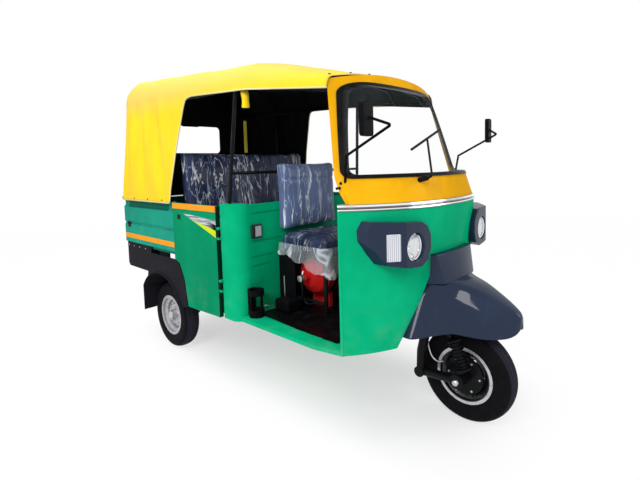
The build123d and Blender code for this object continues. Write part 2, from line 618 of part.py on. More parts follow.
def corner_plan(shrink):
    """Plan of the left corner pillar, shrunk all round."""
    inner = BODY_HALF_WIDTH - PILLAR_RADIUS + shrink
    outer = BODY_HALF_WIDTH - shrink
    rear, front = PILLAR_REAR_X + shrink, PARTITION_X - shrink
    radius = outer - inner
    bulge = radius * math.sqrt(0.5)
    return make_face([
        Line((front, inner), (rear, inner)),
        Line((rear, inner), (rear, outer)),
        Line((rear, outer), (front - radius, outer)),
        ThreePointArc((front - radius, outer), (front - radius + bulge, inner + bulge), (front, inner)),
    ])


def corner_pillars():
    """Round-fronted hollow pillars beside the partition, with the door hinge pins."""
    top = BELT_Z + 6
    shell = Pos(0, 0, SILL_Z) * extrude(corner_plan(0), top - SILL_Z)
    shell -= Pos(0, 0, SILL_Z - 1) * extrude(corner_plan(5), top - 5 - SILL_Z)
    for z in HINGE_ZS:
        pin = rod((HINGE_X, HINGE_Y, z - 36), (HINGE_X, HINGE_Y, z + 36), PIN_R)
        for low in (z - 36, z + 25):
            lug = block(HINGE_X - 6, PILLAR_REAR_X + 4, BODY_HALF_WIDTH - 12, HINGE_Y + 5.5, low, low + 11)
            shell += lug
        shell += pin
    return pair(shell)


def arch_outline(grow):
    """Side view of the wheel-arch moulding, grown by a distance."""
    x = REAR_AXLE_X
    g = grow
    return [
        (x - FLAP_BACK - g, FLAP_LOW_Z - g), (x - 150 - g, 690 + g), (x + 232 + 0.4 * g, 690 + g),
        (x + 292 + g, 668 + 0.6 * g), (x + 346 + g, 572), (x + 382 + g, 392 - g),
    ]


def arch_opening(shrink):
    """Side view of the opening in the moulding."""
    radius = ARCH_R - shrink
    return Pos(REAR_AXLE_X, 0, 0) * disc(0, TYRE_R, radius, -800, 800)


def wheel_arches():
    """Plastic wheel-arch mouldings: a flared face and a liner over the tyre."""
    face_y = BODY_HALF_WIDTH + 14
    inside = WHEEL_Y - TYRE_HALF_WIDTH - 20
    face = side_prism(arch_outline(0), BODY_HALF_WIDTH + 2, face_y)
    face -= arch_opening(0)
    flap_x = REAR_AXLE_X - FLAP_BACK
    liner = disc(REAR_AXLE_X, TYRE_R, ARCH_R + 8, inside, face_y + 8) - arch_opening(0)
    liner &= block(flap_x - 6, REAR_AXLE_X + 500, 0, 800, 360, 1200)
    liner += block(flap_x - 6, flap_x, inside, face_y + 8, FLAP_LOW_Z, 430)
    stay_y = BODY_HALF_WIDTH - 40
    stay = block(REAR_AXLE_X - 70, REAR_AXLE_X + 70, stay_y, stay_y + 12, 545, KICK_TOP)
    return pair(face + liner + (stay - arch_opening(0)))


def door_leaf():
    """Left passenger half door: a hollow-looking pressed leaf cut round the wheel arch."""
    y1 = BODY_HALF_WIDTH + DOOR_PROUD
    y0 = y1 - DOOR_THICK
    front = DOOR_FRONT_X
    outline = [
        (DOOR_REAR_X, 736), (DOOR_REAR_X, BELT_Z - 9), (front, BELT_Z - 9), (front, SILL_Z - 2),
        (REAR_AXLE_X + 400, SILL_Z - 14), (REAR_AXLE_X + 200, SILL_Z - 14),
    ]
    leaf = side_prism(outline, y0, y1) - side_prism(arch_outline(MOVING_GAP), 0, 900)
    leaf -= block(DOOR_REAR_X - 5, DOOR_REAR_X + 2, 0, 900, 400, DECK_Z + 11)
    rib = block(DOOR_REAR_X + 10, front - 6, y1 - 2, y1 + 5, BELT_Z - 44, BELT_Z - 12)
    leaf += rib
    for z in HINGE_ZS:
        leaf += rod((HINGE_X, HINGE_Y, z - 20), (HINGE_X, HINGE_Y, z + 20), BARREL_R)
        leaf += block(front - 30, HINGE_X, HINGE_Y - 4, HINGE_Y + 4, z - 20, z + 20)
    for z in HINGE_ZS:
        leaf -= rod((HINGE_X, HINGE_Y, z - 40), (HINGE_X, HINGE_Y, z + 40), PIN_R + RUNNING_GAP)
    return max(leaf.solids(), key=lambda solid: solid.volume)


# --- Load bed ----------------------------------------------------------------------
def bed_sides():
    """Pressed bed sides with a leaning top band, a groove and a rolled lower edge."""
    y, low, top = BODY_HALF_WIDTH, DECK_Z - 2, BELT_Z - 5
    inner = y - WALL
    section = [
        (inner, low), (y - 4, low), (y, low + 6), (y, 872), (y - 7, 879), (y - 7, 891), (y, 898),
        (y, top - 66), (y - 13, top - 52), (y - 13, top), (inner, top),
    ]
    front = DOOR_REAR_X - MOVING_GAP
    return pair(front_prism(section, BED_REAR_X, front))


def tailgate():
    """Drop-down tailgate with two pressed panels, hung on the deck's hinge rod."""
    half = BODY_HALF_WIDTH - WALL - MOVING_GAP
    low, top = GATE_Z + 16, HEM_Z - MOVING_GAP
    gate = block(BED_REAR_X, BED_REAR_X + WALL, -half, half, low, top)
    for y0, y1 in ((-half + 50, -40), (40, half - 50)):
        gate -= block(BED_REAR_X - 1, BED_REAR_X + 6, y0, y1, low + 50, top - 60)
    for y in (-360, 0, 360):
        gate += disc(BED_REAR_X + 13, GATE_Z, 12, y - 45, y + 45)
        gate += block(BED_REAR_X + 4, BED_REAR_X + 22, y - 45, y + 45, GATE_Z, low + 4)
    return gate - disc(BED_REAR_X + 13, GATE_Z, GATE_PIN_R + RUNNING_GAP, -half, half)


def rear_skirts():
    """Skirts behind the wheel arches, joined by the panel under the tailgate."""
    x, top = REAR_AXLE_X, DECK_Z - 4
    points = [
        (BED_REAR_X, top - 178), (BED_REAR_X, top), (x - 160, top), (x - 214, top - 178),
        (x - 240, top - 198), (BED_REAR_X + 24, top - 198),
    ]
    skirt = side_prism(points, BODY_HALF_WIDTH - 22, BODY_HALF_WIDTH - 12)
    half = BODY_HALF_WIDTH - 20
    panel = block(BED_REAR_X + 4, BED_REAR_X + 16, -half, half, top - 164, KICK_TOP)
    return panel + skirt + flipped(skirt)


def marker_lamps():
    """Rear lamp units on the panel and the marker beside the driver's doorway."""
    rear = block(-LENGTH / 2, BED_REAR_X + 4, 470, 580, DECK_Z - 144, DECK_Z - 54)
    rear = fillet(rear.edges().filter_by(Axis.X), 12)
    front = block(PARTITION_X, PARTITION_X + 14, -532, -456, 886, 968)
    front = fillet(front.edges().filter_by(Axis.X), 8)
    return Compound(children=[*pair(rear).solids(), *front.solids()])


# --- Cab panels --------------------------------------------------------------------
def front_cowl():
    """Lower cowl: curved shell with the mudguard arch cut through its nose."""
    outer = cab_form(0, LOWER_ROWS)
    inner = cab_form(-PANEL, extended(LOWER_ROWS, COWL_BOTTOM_Z - 10, COWL_TOP_Z + 10))
    inner = Pos(-1, 0, 0) * inner
    shell = outer - inner
    _, foot, foot_z, flank, flank_z, top, top_z = GUARD_ROWS[0]
    low = COWL_BOTTOM_Z - 20
    spread = foot + (foot - flank) / (flank_z - foot_z) * (foot_z - low)
    arch = (COWL_REAR_X + 33, spread, low, flank, flank_z, top, top_z)
    shell -= extrude(guard_section(arch, -GUARD_GAP), 400)
    edge = BODY_HALF_WIDTH - 22
    flange = block(COWL_REAR_X - 12, COWL_REAR_X + 3, edge - 28, edge, COWL_BOTTOM_Z, COWL_TOP_Z)
    bore = lamp_bore(LAMP_R + SEAT_GAP)
    return shell + flange + flipped(flange) - bore - flipped(bore)


def crown_prism(drop):
    """Everything under the header's crowned top, lowered by a distance."""
    (edge_y, edge_z), (_, top_z) = HEADER_CROWN
    slope = (top_z - edge_z) / edge_y ** 2
    far = BODY_HALF_WIDTH - 65
    far_z = top_z - slope * far ** 2 - drop
    outline = [
        Line((-far, 900), (far, 900)), Line((far, 900), (far, far_z)),
        ThreePointArc((far, far_z), (0, top_z - drop), (-far, far_z)), Line((-far, far_z), (-far, 900)),
    ]
    plane = Plane(origin=(COWL_REAR_X - 467, 0, 0), x_dir=(0, 1, 0), z_dir=(1, 0, 0))
    return extrude(plane * make_face(outline), 900)


def cab_belt(low, high):
    """Everything in and round the cab between two heights."""
    return block(COWL_REAR_X - 367, COWL_REAR_X + 433, -BODY_HALF_WIDTH, BODY_HALF_WIDTH, low, high)


def upper_cowl():
    """Upper cab: scuttle, windscreen pillars and crowned header in one curved shell."""
    outer = cab_form(0, UPPER_ROWS) & crown_prism(0)
    inner = cab_form(-PANEL, extended(UPPER_ROWS, COWL_TOP_Z - 10, CAB_TOP_Z)) & crown_prism(PANEL)
    shell = outer - Pos(-1, 0, 0) * inner
    shell -= cab_belt(COWL_TOP_Z - 1, COWL_TOP_Z + CHROME_DEPTH)
    return shell - screen_cutter(0)


def chrome_strips():
    """Twin bright strips round the joint between the cowls."""
    rows = extended([CAB_ROWS[2], CAB_ROWS[3]], COWL_TOP_Z, COWL_TOP_Z + CHROME_DEPTH)
    hollow = cab_form(-PANEL, extended(rows, COWL_TOP_Z - 5, COWL_TOP_Z + CHROME_DEPTH))
    band = cab_form(6, rows) - Pos(-1, 0, 0) * hollow
    groove = cab_form(20, rows) - cab_form(1, rows)
    mid = COWL_TOP_Z + CHROME_DEPTH / 2
    return band - (groove & cab_belt(mid - 3, mid + 3))


def windscreen_rubber():
    """Rubber frame that grips the glass."""
    return screen_band(6, -PANEL - 3, 0) - screen_band(40, -200, RUBBER)


def windscreen_glass():
    """Curved laminated glass that wraps round to the pillars."""
    return screen_band(-5, -11, RUBBER)


def nose_trim():
    """Dark filler between the cowl's nose and the mudguard's top."""
    band = cab_form(12, LOWER_ROWS) - cab_form(0.4, LOWER_ROWS)
    outline = [(-150, 840), (-192, 872), (-160, 894), (160, 894), (192, 872), (150, 840)]
    return band & front_prism(outline, COWL_REAR_X + 33, COWL_REAR_X + 433)


def bezel_form(drop):
    """Solid under the bezel's sculpted face, set back by a distance."""
    back = COWL_REAR_X + 13
    plan = [(x - drop, y) for y, x in BEZEL_FACE] + [(back, BEZEL_FACE[-1][0]), (back, BEZEL_FACE[0][0])]
    return Pos(0, 0, 800) * extrude(make_face(Polyline(*plan, close=True)), 300)


def signal_block(grow):
    """Block across one turn signal's window."""
    y0, y1 = SIGNAL_Y - SIGNAL_HALF - grow, SIGNAL_Y + SIGNAL_HALF + grow
    return block(COWL_REAR_X + 33, COWL_REAR_X + 433, y0, y1, SIGNAL_LOW - grow, SIGNAL_HIGH + grow)


def headlamp_bezels():
    """Sculpted housings round the lamps, standing proud of the cowl."""
    pad = bezel_form(0) & front_prism(BEZEL_OUTLINE, COWL_REAR_X - 7, COWL_REAR_X + 433)
    return pair(pad - cab_form(SEAT_GAP, LOWER_ROWS) - signal_block(1) - lamp_bore(LAMP_R + SEAT_GAP))


def lamp_bore(radius):
    """Cylinder along a headlamp's axis, from behind the cowl's face forward."""
    return rod((LAMP_FACE_X - 112, LAMP_Y, LAMP_Z), (LAMP_FACE_X + 108, LAMP_Y, LAMP_Z), radius)


def headlamps():
    """Round lamps with a domed lens, let into the cowl and facing straight ahead."""
    rim_x, face_x = LAMP_DEPTH - LAMP_DOME, LAMP_DEPTH
    curve = (LAMP_R ** 2 + LAMP_DOME ** 2) / (2 * LAMP_DOME)
    mid_x = face_x - curve + math.sqrt(curve ** 2 - (LAMP_R / 2) ** 2)
    profile = make_face([
        Line((0, 0), (0, LAMP_R)),
        Line((0, LAMP_R), (rim_x, LAMP_R)),
        ThreePointArc((rim_x, LAMP_R), (mid_x, LAMP_R / 2), (face_x, 0)),
        Line((face_x, 0), (0, 0)),
    ])
    return pair(Pos(LAMP_FACE_X - LAMP_DEPTH, LAMP_Y, LAMP_Z) * revolve(profile, Axis.X))


def signal_lamps():
    """Rectangular clear turn signals beside the headlamps."""
    return pair((bezel_form(5) & signal_block(0)) - cab_form(0.6, LOWER_ROWS))


def wiper():
    """Wiper spindle, arm and blade in front of the glass."""
    x, z = COWL_REAR_X + 213, SCREEN_BOTTOM_Z - 10
    arm = tube_path([(x, -247, z), (x + 42, -247, z + 10), (x - 18, -184, z + 187)], 12, 5)
    blade = rod((x - 32, -300, z + 135), (x - 6, -80, z + 233), 6)
    spindle = rod((x - 40, -247, z - 10), (x + 20, -247, z + 5), 12)
    return arm + blade + spindle - cab_form(0.2, UPPER_ROWS)


def mirrors():
    """Rear-view mirrors on bent stalks from the pillars' feet."""
    head = Box(22, 92, 142)
    head = fillet(head.edges().filter_by(Axis.X), 18)
    cab = cab_form(0.2, UPPER_ROWS)
    both = []
    x, y, z = COWL_REAR_X - 1, BODY_HALF_WIDTH - 77, SCREEN_BOTTOM_Z + 102
    for side in (1, -1):
        elbow, tip = (x + 240, side * (y - 2), z + 118), (x + 174, side * (y + 56), z + 150)
        stalk = tube_path([(x, side * y, z), elbow, tip], 7, 6)
        foot = rod((x - 20, side * (y - 12), z - 134), (x + 2, side * y, z + 6), 6)
        both.append((stalk + foot + Pos(x + 164, side * (y + 63), z + 146) * Rot(0, 0, 12) * head) - cab)
    return Compound(children=[solid for piece in both for solid in piece.solids()])


def dashboard():
    """Instrument shelf behind the scuttle."""
    low, high, rear, front = DASH_LOW_Z, DASH_LOW_Z + 40, COWL_REAR_X + 3, COWL_REAR_X + 193
    lip = [(rear + 35, low), (rear, low + 14), (rear + 10, low + 30)]
    outline = lip + [(rear + 110, high), (front, high), (front, low)]
    return side_prism(outline, -420, 420) & (Pos(-1, 0, 0) * cab_form(-PANEL - 0.5, UPPER_ROWS))


# --- Driver's place ------------------------------------------------------------------
def driver_seat_frame():
    """Tube stand and pan under the driver's cushion."""
    y0, y1 = SEAT_Y - SEAT_HALF, SEAT_Y + SEAT_HALF
    pan_top = CUSHION_TOP - CUSHION_THICK
    rear_x, front_x, rung_z = BACK_X + 30, SEAT_FRONT_X - 30, FLOOR_Z + 72
    frame = block(BACK_X + 10, SEAT_FRONT_X - 10, y0 + 10, y1 - 10, pan_top - 8, pan_top)
    for y in (y0 + 24, y1 - 24):
        for x in (rear_x, front_x):
            frame += rod((x, y, FLOOR_Z), (x, y, pan_top - 4), 13)
        frame += rod((rear_x, y, rung_z), (front_x, y, rung_z), 11)
    return frame


def driver_seat_cushion():
    """Driver's seat cushion."""
    z0 = CUSHION_TOP - CUSHION_THICK
    cushion = block(BACK_X + 12, SEAT_FRONT_X, SEAT_Y - SEAT_HALF, SEAT_Y + SEAT_HALF, z0, CUSHION_TOP)
    return fillet(cushion.edges().filter_by(Axis.Z), 40)


def driver_seat_back():
    """Driver's backrest, leaning against the partition's top rail."""
    low, top = CUSHION_TOP + 12, SEAT_BACK_TOP
    lean = [(BACK_X, low), (BACK_X + 78, low), (BACK_X + 62, top), (BACK_X, top)]
    back = side_prism(lean, SEAT_Y - SEAT_HALF, SEAT_Y + SEAT_HALF)
    return fillet(back.edges().filter_by(Axis.X), 30)


def gas_cylinder():
    """Red fuel cylinder with domed ends, under the driver's seat."""
    x, y, z = PARTITION_X + 213, SEAT_Y + 20, FLOOR_Z + 202
    radius, half = 118.0, 150.0
    dome = [(radius, half), (100, half + 30), (60, half + 58), (0, half + 70)]
    tank = turned([(r, -a) for r, a in reversed(dome)] + dome, x, y, z)
    tank += disc(x, z, 22, y - half - 100, y - half - 60)
    for offset in (-95, 95):
        tank += block(x - 68, x + 68, y + offset - 15, y + offset + 15, FLOOR_Z, z - 105)
    return tank


def battery_box():
    """Black battery and control box beside the cylinder."""
    top = CUSHION_TOP - CUSHION_THICK - 15
    box = block(BACK_X + 8, PARTITION_X + 85, SEAT_Y - 195, SEAT_Y + 190, FLOOR_Z, top)
    return fillet(box.edges().filter_by(Axis.X), 8)


def pedals():
    """Brake pedal and its bracket on the floor."""
    x, z = COWL_REAR_X - 167, FLOOR_Z + 52
    pad = block(x, x + 60, -220, -130, z, z + 12)
    stem = rod((x + 30, -175, z + 6), (x + 100, -175, FLOOR_Z + 8), 9)
    foot = block(x + 70, x + 131, -200, -150, FLOOR_Z, FLOOR_Z + 14)
    return pad + stem + foot


def bottle_holder():
    """Ring holder on the partition beside the doorway."""
    x, y = PARTITION_X + 50, 80 - BODY_HALF_WIDTH
    low, high = FLOOR_Z, FLOOR_Z + 156
    holder = Pos(x, y, low + 20) * Cylinder(44, 40) + Pos(x, y, high - 16) * Cylinder(44, 32)
    holder -= Pos(x, y, high) * Cylinder(36, 2 * (high - low - 10))
    holder += block(PARTITION_X, PARTITION_X + 12, y - 24, y + 24, low, high)
    for dx, dy in ((40, 0), (0, -40), (0, 40)):
        holder += rod((x + dx, y + dy, low + 20), (x + dx, y + dy, high - 20), 4.5)
    return holder


# --- Passenger bench --------------------------------------------------------------------
def passenger_seat_base():
    """Sheet-metal seat box, open below."""
    half, top = BENCH_HALF - 20, BENCH_TOP - 120
    outer = block(BENCH_BACK + 84, BENCH_FRONT - 20, -half, half, FLOOR_Z, top)
    inner = block(BENCH_BACK + 40, BENCH_FRONT - 35, -half + 15, half - 15, FLOOR_Z - 1, top - 15)
    return outer - inner


def passenger_seat_cushion():
    """Passenger bench cushion."""
    seat = block(BENCH_BACK + 67, BENCH_FRONT, -BENCH_HALF, BENCH_HALF, BENCH_TOP - 119.5, BENCH_TOP)
    return fillet(seat.edges().filter_by(Axis.Z), 40)


def passenger_seat_back():
    """Passenger backrest above the bench."""
    low, top, foot = BENCH_TOP + 6, BENCH_BACK_TOP, BENCH_BACK + 64
    lean = [(foot, low), (foot + 86, low), (BENCH_BACK + 78, top), (BENCH_BACK + 2, top)]
    back = side_prism(lean, -BENCH_HALF, BENCH_HALF)
    return fillet(back.edges().filter_by(Axis.X), 30)


def bench_frame():
    """Tube frame that holds the leaning backrest up from the deck."""
    low, rail_z, top = BENCH_TOP + 6, BENCH_BACK_TOP - 232, BENCH_BACK_TOP - 32

    def behind(z):
        return BENCH_BACK + 64 - 62 * (z - low) / (BENCH_BACK_TOP - low) - 12.6

    frame = rod((behind(rail_z), -BENCH_HALF + 20, rail_z), (behind(rail_z), BENCH_HALF - 20, rail_z), 12)
    for y in (-BENCH_HALF + 40, 0, BENCH_HALF - 40):
        frame += rod((behind(DECK_Z - 3), y, DECK_Z - 3), (behind(top), y, top), 12)
    return frame - block(BENCH_BACK - 50, BENCH_BACK + 100, -BENCH_HALF, BENCH_HALF, DECK_Z - 20, DECK_Z)


def eave_rail(side, radius):
    """Rail along one eave, from the rearmost bow to the windscreen pillar."""
    stops = (BED_REAR_X + WALL + 20, HOOD_ROWS[2][0] - 6, HOOD_ROWS[3][0] - 56, pillar_edge(1655) - 3.2)
    points = [eave_point(x, side) for x in stops]
    rail = rod(points[0], points[1], radius)
    for start, end in zip(points[1:], points[2:]):
        rail += rod(start, end, radius)
    return rail


def hood_frame():
    """Bows of the hood and the rails that join them at the eaves."""
    frame = bow(BED_REAR_X + WALL + 20, DECK_Z) + bow(REAR_AXLE_X - 60, DECK_Z)
    for x in (DOOR_REAR_X + 129, HOOD_ROWS[2][0] - 6, PARTITION_X + 305, HOOD_ROWS[3][0] - 56):
        frame += bow(x)
    return frame + eave_rail(1, RAIL_R) + eave_rail(-1, RAIL_R)


def hood_posts():
    """Posts on the corner pillars up to the eave rails, with the grab rail between them."""
    x = POST_FOOT_X + 12
    posts = rod((x, -POST_FOOT_Y, GRAB_Z), (x, POST_FOOT_Y, GRAB_Z), 9)
    for side in (1, -1):
        posts += rod((POST_FOOT_X, side * POST_FOOT_Y, BELT_Z + 7.5), eave_point(POST_TOP_X, side), 11)
    return posts - eave_rail(1, RAIL_R + SEAT_GAP) - eave_rail(-1, RAIL_R + SEAT_GAP)


PARTS = [
    chassis_frame, rear_axle, rear_springs, engine_block, exhaust, floor_pan, load_deck, partition,
    corner_pillars, wheel_arches, bed_sides, tailgate, rear_skirts, marker_lamps, front_cowl, upper_cowl,
    chrome_strips, windscreen_rubber, windscreen_glass, nose_trim, headlamp_bezels, headlamps, signal_lamps,
    front_mudguard, wiper, mirrors, dashboard, driver_seat_frame, driver_seat_cushion, driver_seat_back,
    gas_cylinder, battery_box, pedals, bottle_holder, passenger_seat_base, passenger_seat_cushion,
    passenger_seat_back, bench_frame, canvas_hood, hood_frame, hood_posts, steering_fork, handlebar,
    leading_link, front_spring,
]

os.makedirs("parts", exist_ok=True)
for part in PARTS:
    save(part.__name__, part())
for side, sign in (("left", 1), ("right", -1)):
    save(f"rear_{side}_tyre", tyre(REAR_AXLE_X, sign * WHEEL_Y))
    save(f"rear_{side}_rim", rim(REAR_AXLE_X, sign * WHEEL_Y, sign, 38, 40, 8))
save("front_tyre", tyre(FRONT_AXLE_X, 0))
save("front_rim", rim(FRONT_AXLE_X, 0, -1, 40, 26, 6))
leaf = door_leaf()
save("left_door", leaf)
save("right_door", flipped(leaf))
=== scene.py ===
"""Finish of a three-wheeled auto rickshaw: its paint, canvas, seats, tyres, lamps and small fittings.

Metres throughout. +X is forward, +Y the vehicle's left, +Z up, and the origin is on the ground.
"""

import json
import math

import bmesh
import bpy
import mathutils
import numpy as np
from bpy.props import FloatProperty, FloatVectorProperty, PointerProperty
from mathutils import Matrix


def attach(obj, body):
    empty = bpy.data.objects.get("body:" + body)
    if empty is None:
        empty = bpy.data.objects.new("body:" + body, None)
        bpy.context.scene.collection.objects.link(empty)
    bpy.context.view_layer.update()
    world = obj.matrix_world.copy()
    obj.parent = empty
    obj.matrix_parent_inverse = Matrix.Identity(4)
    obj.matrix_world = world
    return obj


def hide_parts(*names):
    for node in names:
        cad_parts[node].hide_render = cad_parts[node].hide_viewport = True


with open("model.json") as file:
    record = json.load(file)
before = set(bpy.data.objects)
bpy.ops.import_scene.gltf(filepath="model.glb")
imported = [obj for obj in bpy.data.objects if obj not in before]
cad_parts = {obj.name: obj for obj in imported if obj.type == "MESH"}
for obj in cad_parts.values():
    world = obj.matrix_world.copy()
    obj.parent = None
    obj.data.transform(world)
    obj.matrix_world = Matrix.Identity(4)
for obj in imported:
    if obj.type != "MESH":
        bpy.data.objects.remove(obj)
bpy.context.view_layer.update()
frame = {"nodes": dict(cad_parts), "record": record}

bl_info = {
    "name": "Auto rickshaw finish",
    "version": (1, 0, 0),
    "blender": (4, 5, 0),
    "location": "View3D > Sidebar > Rickshaw",
    "description": "Builds the paint, canvas, seats, tyres, lamps and fittings of an auto rickshaw",
    "category": "Object",
}

BODY_OF = {node: body for body, nodes in frame["record"]["behaviour"]["bodies"].items() for node in nodes}
# Axles, rear wheels' middles, tyre radius, the hood's tail, and how near points are joined.
REAR_AXLE_X, FRONT_AXLE_X, WHEEL_Y, TYRE_R = -0.820, 1.180, 0.521, 0.236
TAIL_X = -1.421
WELD = 1e-5


# --- Shapes as arrays ---
class Form:
    """Points and faces of a shape under way."""

    def __init__(self, points, faces):
        self.points = np.asarray(points, dtype=float).reshape(-1, 3)
        self.faces = faces

    def __add__(self, other):
        """Both shapes in one."""
        shifted = [f + len(self.points) for f in other.faces]
        return Form(np.vstack([self.points, other.points]), self.faces + shifted)

    def moved(self, offset):
        """The shape carried by an offset."""
        return Form(self.points + np.asarray(offset), self.faces)

    def turned(self, matrix):
        """The shape turned by a 3 x 3 matrix about the origin."""
        return Form(self.points @ np.asarray(matrix).T, self.faces)

    def mirrored(self):
        """The shape on the vehicle's other side, with its faces turned to stay outward."""
        return Form(self.points * (1, -1, 1), [f[:, ::-1] for f in self.faces])

    def both_sides(self):
        """The shape and its mirror image."""
        return self + self.mirrored()

    def at(self, places, axis):
        """Copies at many places, each with its +Z turned to an axis."""
        places = np.asarray(places, dtype=float).reshape(-1, 3)
        axes = np.broadcast_to(np.asarray(axis, dtype=float), places.shape)
        frames = facing(axes)
        points = np.einsum("kij,nj->kni", frames, self.points) + places[:, None]
        steps = np.arange(len(places))[:, None, None] * len(self.points)
        return Form(points, [(f[None] + steps).reshape(-1, f.shape[1]) for f in self.faces])


def unit(vectors):
    """Vectors of length one."""
    return vectors / np.maximum(np.linalg.norm(vectors, axis=-1, keepdims=True), 1e-12)


def facing(axes):
    """Matrices whose third column is each axis; the first is level where it can be."""
    third = unit(axes)
    spare = np.where(np.abs(third[:, 2:]) < 0.9, (0.0, 0.0, 1.0), (1.0, 0.0, 0.0))
    first = unit(np.cross(spare, third))
    return np.stack([first, np.cross(third, first), third], axis=-1)


def round_angles(count):
    """Even angles of a whole turn."""
    return np.linspace(0, 2 * np.pi, count, endpoint=False)


def grid_faces(rows, cols, wrap_rows=False, wrap_cols=False):
    """Quads of a rows x cols grid of points; a wrapped way joins its end to its start."""
    r = np.arange(rows if wrap_rows else rows - 1)[:, None]
    c = np.arange(cols if wrap_cols else cols - 1)[None, :]
    after_r, after_c = (r + 1) % rows, (c + 1) % cols
    corners = [r * cols + c, r * cols + after_c, after_r * cols + after_c, after_r * cols + c]
    return np.stack(corners, -1).reshape(-1, 4)


def sheet_of(points, wrap_rows=False, wrap_cols=False):
    """Grid of points (rows, cols, 3) as a surface."""
    rows, cols = points.shape[:2]
    return Form(points, [grid_faces(rows, cols, wrap_rows, wrap_cols)])


def edge_of(grid):
    """Outer ring of a grid of points, its first row first."""
    return np.concatenate([grid[0], grid[1:, -1], grid[-1, -2::-1], grid[-2:0:-1, 0]])


def capped(points):
    """Rings of points (rings, sides, 3) as a closed tube: quads between rings, a fan at each end."""
    rings, sides = points.shape[:2]
    middles = np.stack([points[0].mean(0), points[-1].mean(0)])
    every = np.vstack([points.reshape(-1, 3), middles])
    side = np.arange(sides)
    after = (side + 1) % sides
    first = np.stack([np.full(sides, rings * sides), after, side], -1)
    base = (rings - 1) * sides
    last = np.stack([np.full(sides, rings * sides + 1), base + side, base + after], -1)
    return Form(every, [grid_faces(rings, sides, wrap_cols=True), np.vstack([first, last])])


def turning(profile, steps):
    """Profile of (radius, height) points turned about Z: (r cos a, r sin a, h)."""
    profile = np.asarray(profile, dtype=float)
    angle = round_angles(steps)
    r, h = profile[:, :1], profile[:, 1:]
    return np.stack([r * np.cos(angle), r * np.sin(angle), h + 0 * angle], -1)


def lathe(profile, steps):
    """Closed turned piece whose profile starts and ends on or near the axis."""
    return capped(turning(profile, steps))


def tube(path, radius, away, sides=10):
    """Round section carried along a path: ring i is path_i + r (cos a n_i + sin a b_i).

    n_i is the part of (path_i - away) that is square to the path, and b_i = t_i x n_i.
    """
    along = unit(np.gradient(path, axis=0))
    out = path - np.asarray(away)
    normal = unit(out - (out * along).sum(-1, keepdims=True) * along)
    binormal = np.cross(along, normal)
    angle = round_angles(sides)[:, None]
    radius = np.broadcast_to(np.asarray(radius, dtype=float), (len(path),))[:, None, None]
    ring = np.cos(angle) * normal[:, None] + np.sin(angle) * binormal[:, None]
    return capped(path[:, None] + radius * ring)


def bent_tube(points, count, radius, away, sides=10):
    """Tube along the smooth curve through a few points, in even steps."""
    return tube(smooth_path(points, count), radius, away, sides)


def smooth_path(points, count):
    """Catmull-Rom curve through a few points, at even parameter steps."""
    p = np.asarray(points, dtype=float)
    p = np.vstack([2 * p[0] - p[1], p, 2 * p[-1] - p[-2]])
    t = np.linspace(0, len(p) - 3 - 1e-9, count)
    k = t.astype(int)
    f = (t - k)[:, None]
    a, b, c, d = p[k], p[k + 1], p[k + 2], p[k + 3]
    return 0.5 * (2 * b + (c - a) * f + (2 * a - 5 * b + 4 * c - d) * f ** 2 + (3 * b - a - 3 * c + d) * f ** 3)


def evenly(path, step):
    """The same path with points one step apart along it."""
    lengths = np.concatenate([[0], np.cumsum(np.linalg.norm(np.diff(path, axis=0), axis=1))])
    marks = np.linspace(0, lengths[-1], max(2, int(lengths[-1] / step) + 1))
    return np.stack([np.interp(marks, lengths, path[:, axis]) for axis in range(path.shape[1])], -1)


def ease(value, low, high):
    """Smooth step of an array from 0 at low to 1 at high."""
    t = np.clip((value - low) / (high - low), 0, 1)
    return t * t * (3 - 2 * t)


def prism_nut(radius, height, dome):
    """Six-sided head on a flat base, with a domed end."""
    angle = round_angles(6)
    ring = np.stack([np.cos(angle), np.sin(angle), 0 * angle], -1)
    levels = ((1.0, 0.0), (1.0, height * 0.8), (0.86, height), (0.4, height + dome))
    return capped(np.stack([ring * (radius * s, radius * s, 0) + (0, 0, h) for s, h in levels]))


def stud_head(radius, height):
    """Low round head: a few rings of a flattened dome."""
    angle = np.linspace(0, math.pi / 2, 5)
    return lathe(np.stack([radius * np.cos(angle), height * np.sin(angle)], -1)[:-1], 12)


def rounded_box(half, radius, per_side, middle=(0, 0, 0)):
    """Box of half sizes h with rounded edges: each point of a cube grid is clamped to h - r, then pushed out by r."""
    half = np.asarray(half, dtype=float)
    u = np.linspace(-1, 1, per_side)
    a, b = np.meshgrid(u, u, indexing="ij")
    one = np.ones_like(a)
    sides = [(a, b, one), (b, a, -one), (one, a, b), (-one, b, a), (b, one, a), (a, -one, b)]
    points = np.concatenate([np.stack(side, -1).reshape(-1, 3) for side in sides]) * half
    core = np.clip(points, radius - half, half - radius)
    points = core + radius * unit(points - core)
    quads = grid_faces(per_side, per_side)
    return Form(points + middle, [np.vstack([quads + k * per_side ** 2 for k in range(len(sides))])])


# --- Making and keeping pieces ---
def mesh_from(name, form):
    """Blender mesh of a form."""
    mesh = bpy.data.meshes.new(name)
    counts = np.concatenate([np.full(len(f), f.shape[1]) for f in form.faces])
    corners = np.concatenate([f.reshape(-1) for f in form.faces])
    mesh.vertices.add(len(form.points))
    mesh.vertices.foreach_set("co", form.points.reshape(-1))
    mesh.loops.add(len(corners))
    mesh.loops.foreach_set("vertex_index", corners.astype(np.int32))
    mesh.polygons.add(len(counts))
    starts = np.concatenate([[0], np.cumsum(counts)[:-1]])
    mesh.polygons.foreach_set("loop_start", starts.astype(np.int32))
    mesh.polygons.foreach_set("loop_total", counts.astype(np.int32))
    mesh.update(calc_edges=True)
    mesh.validate()
    return mesh


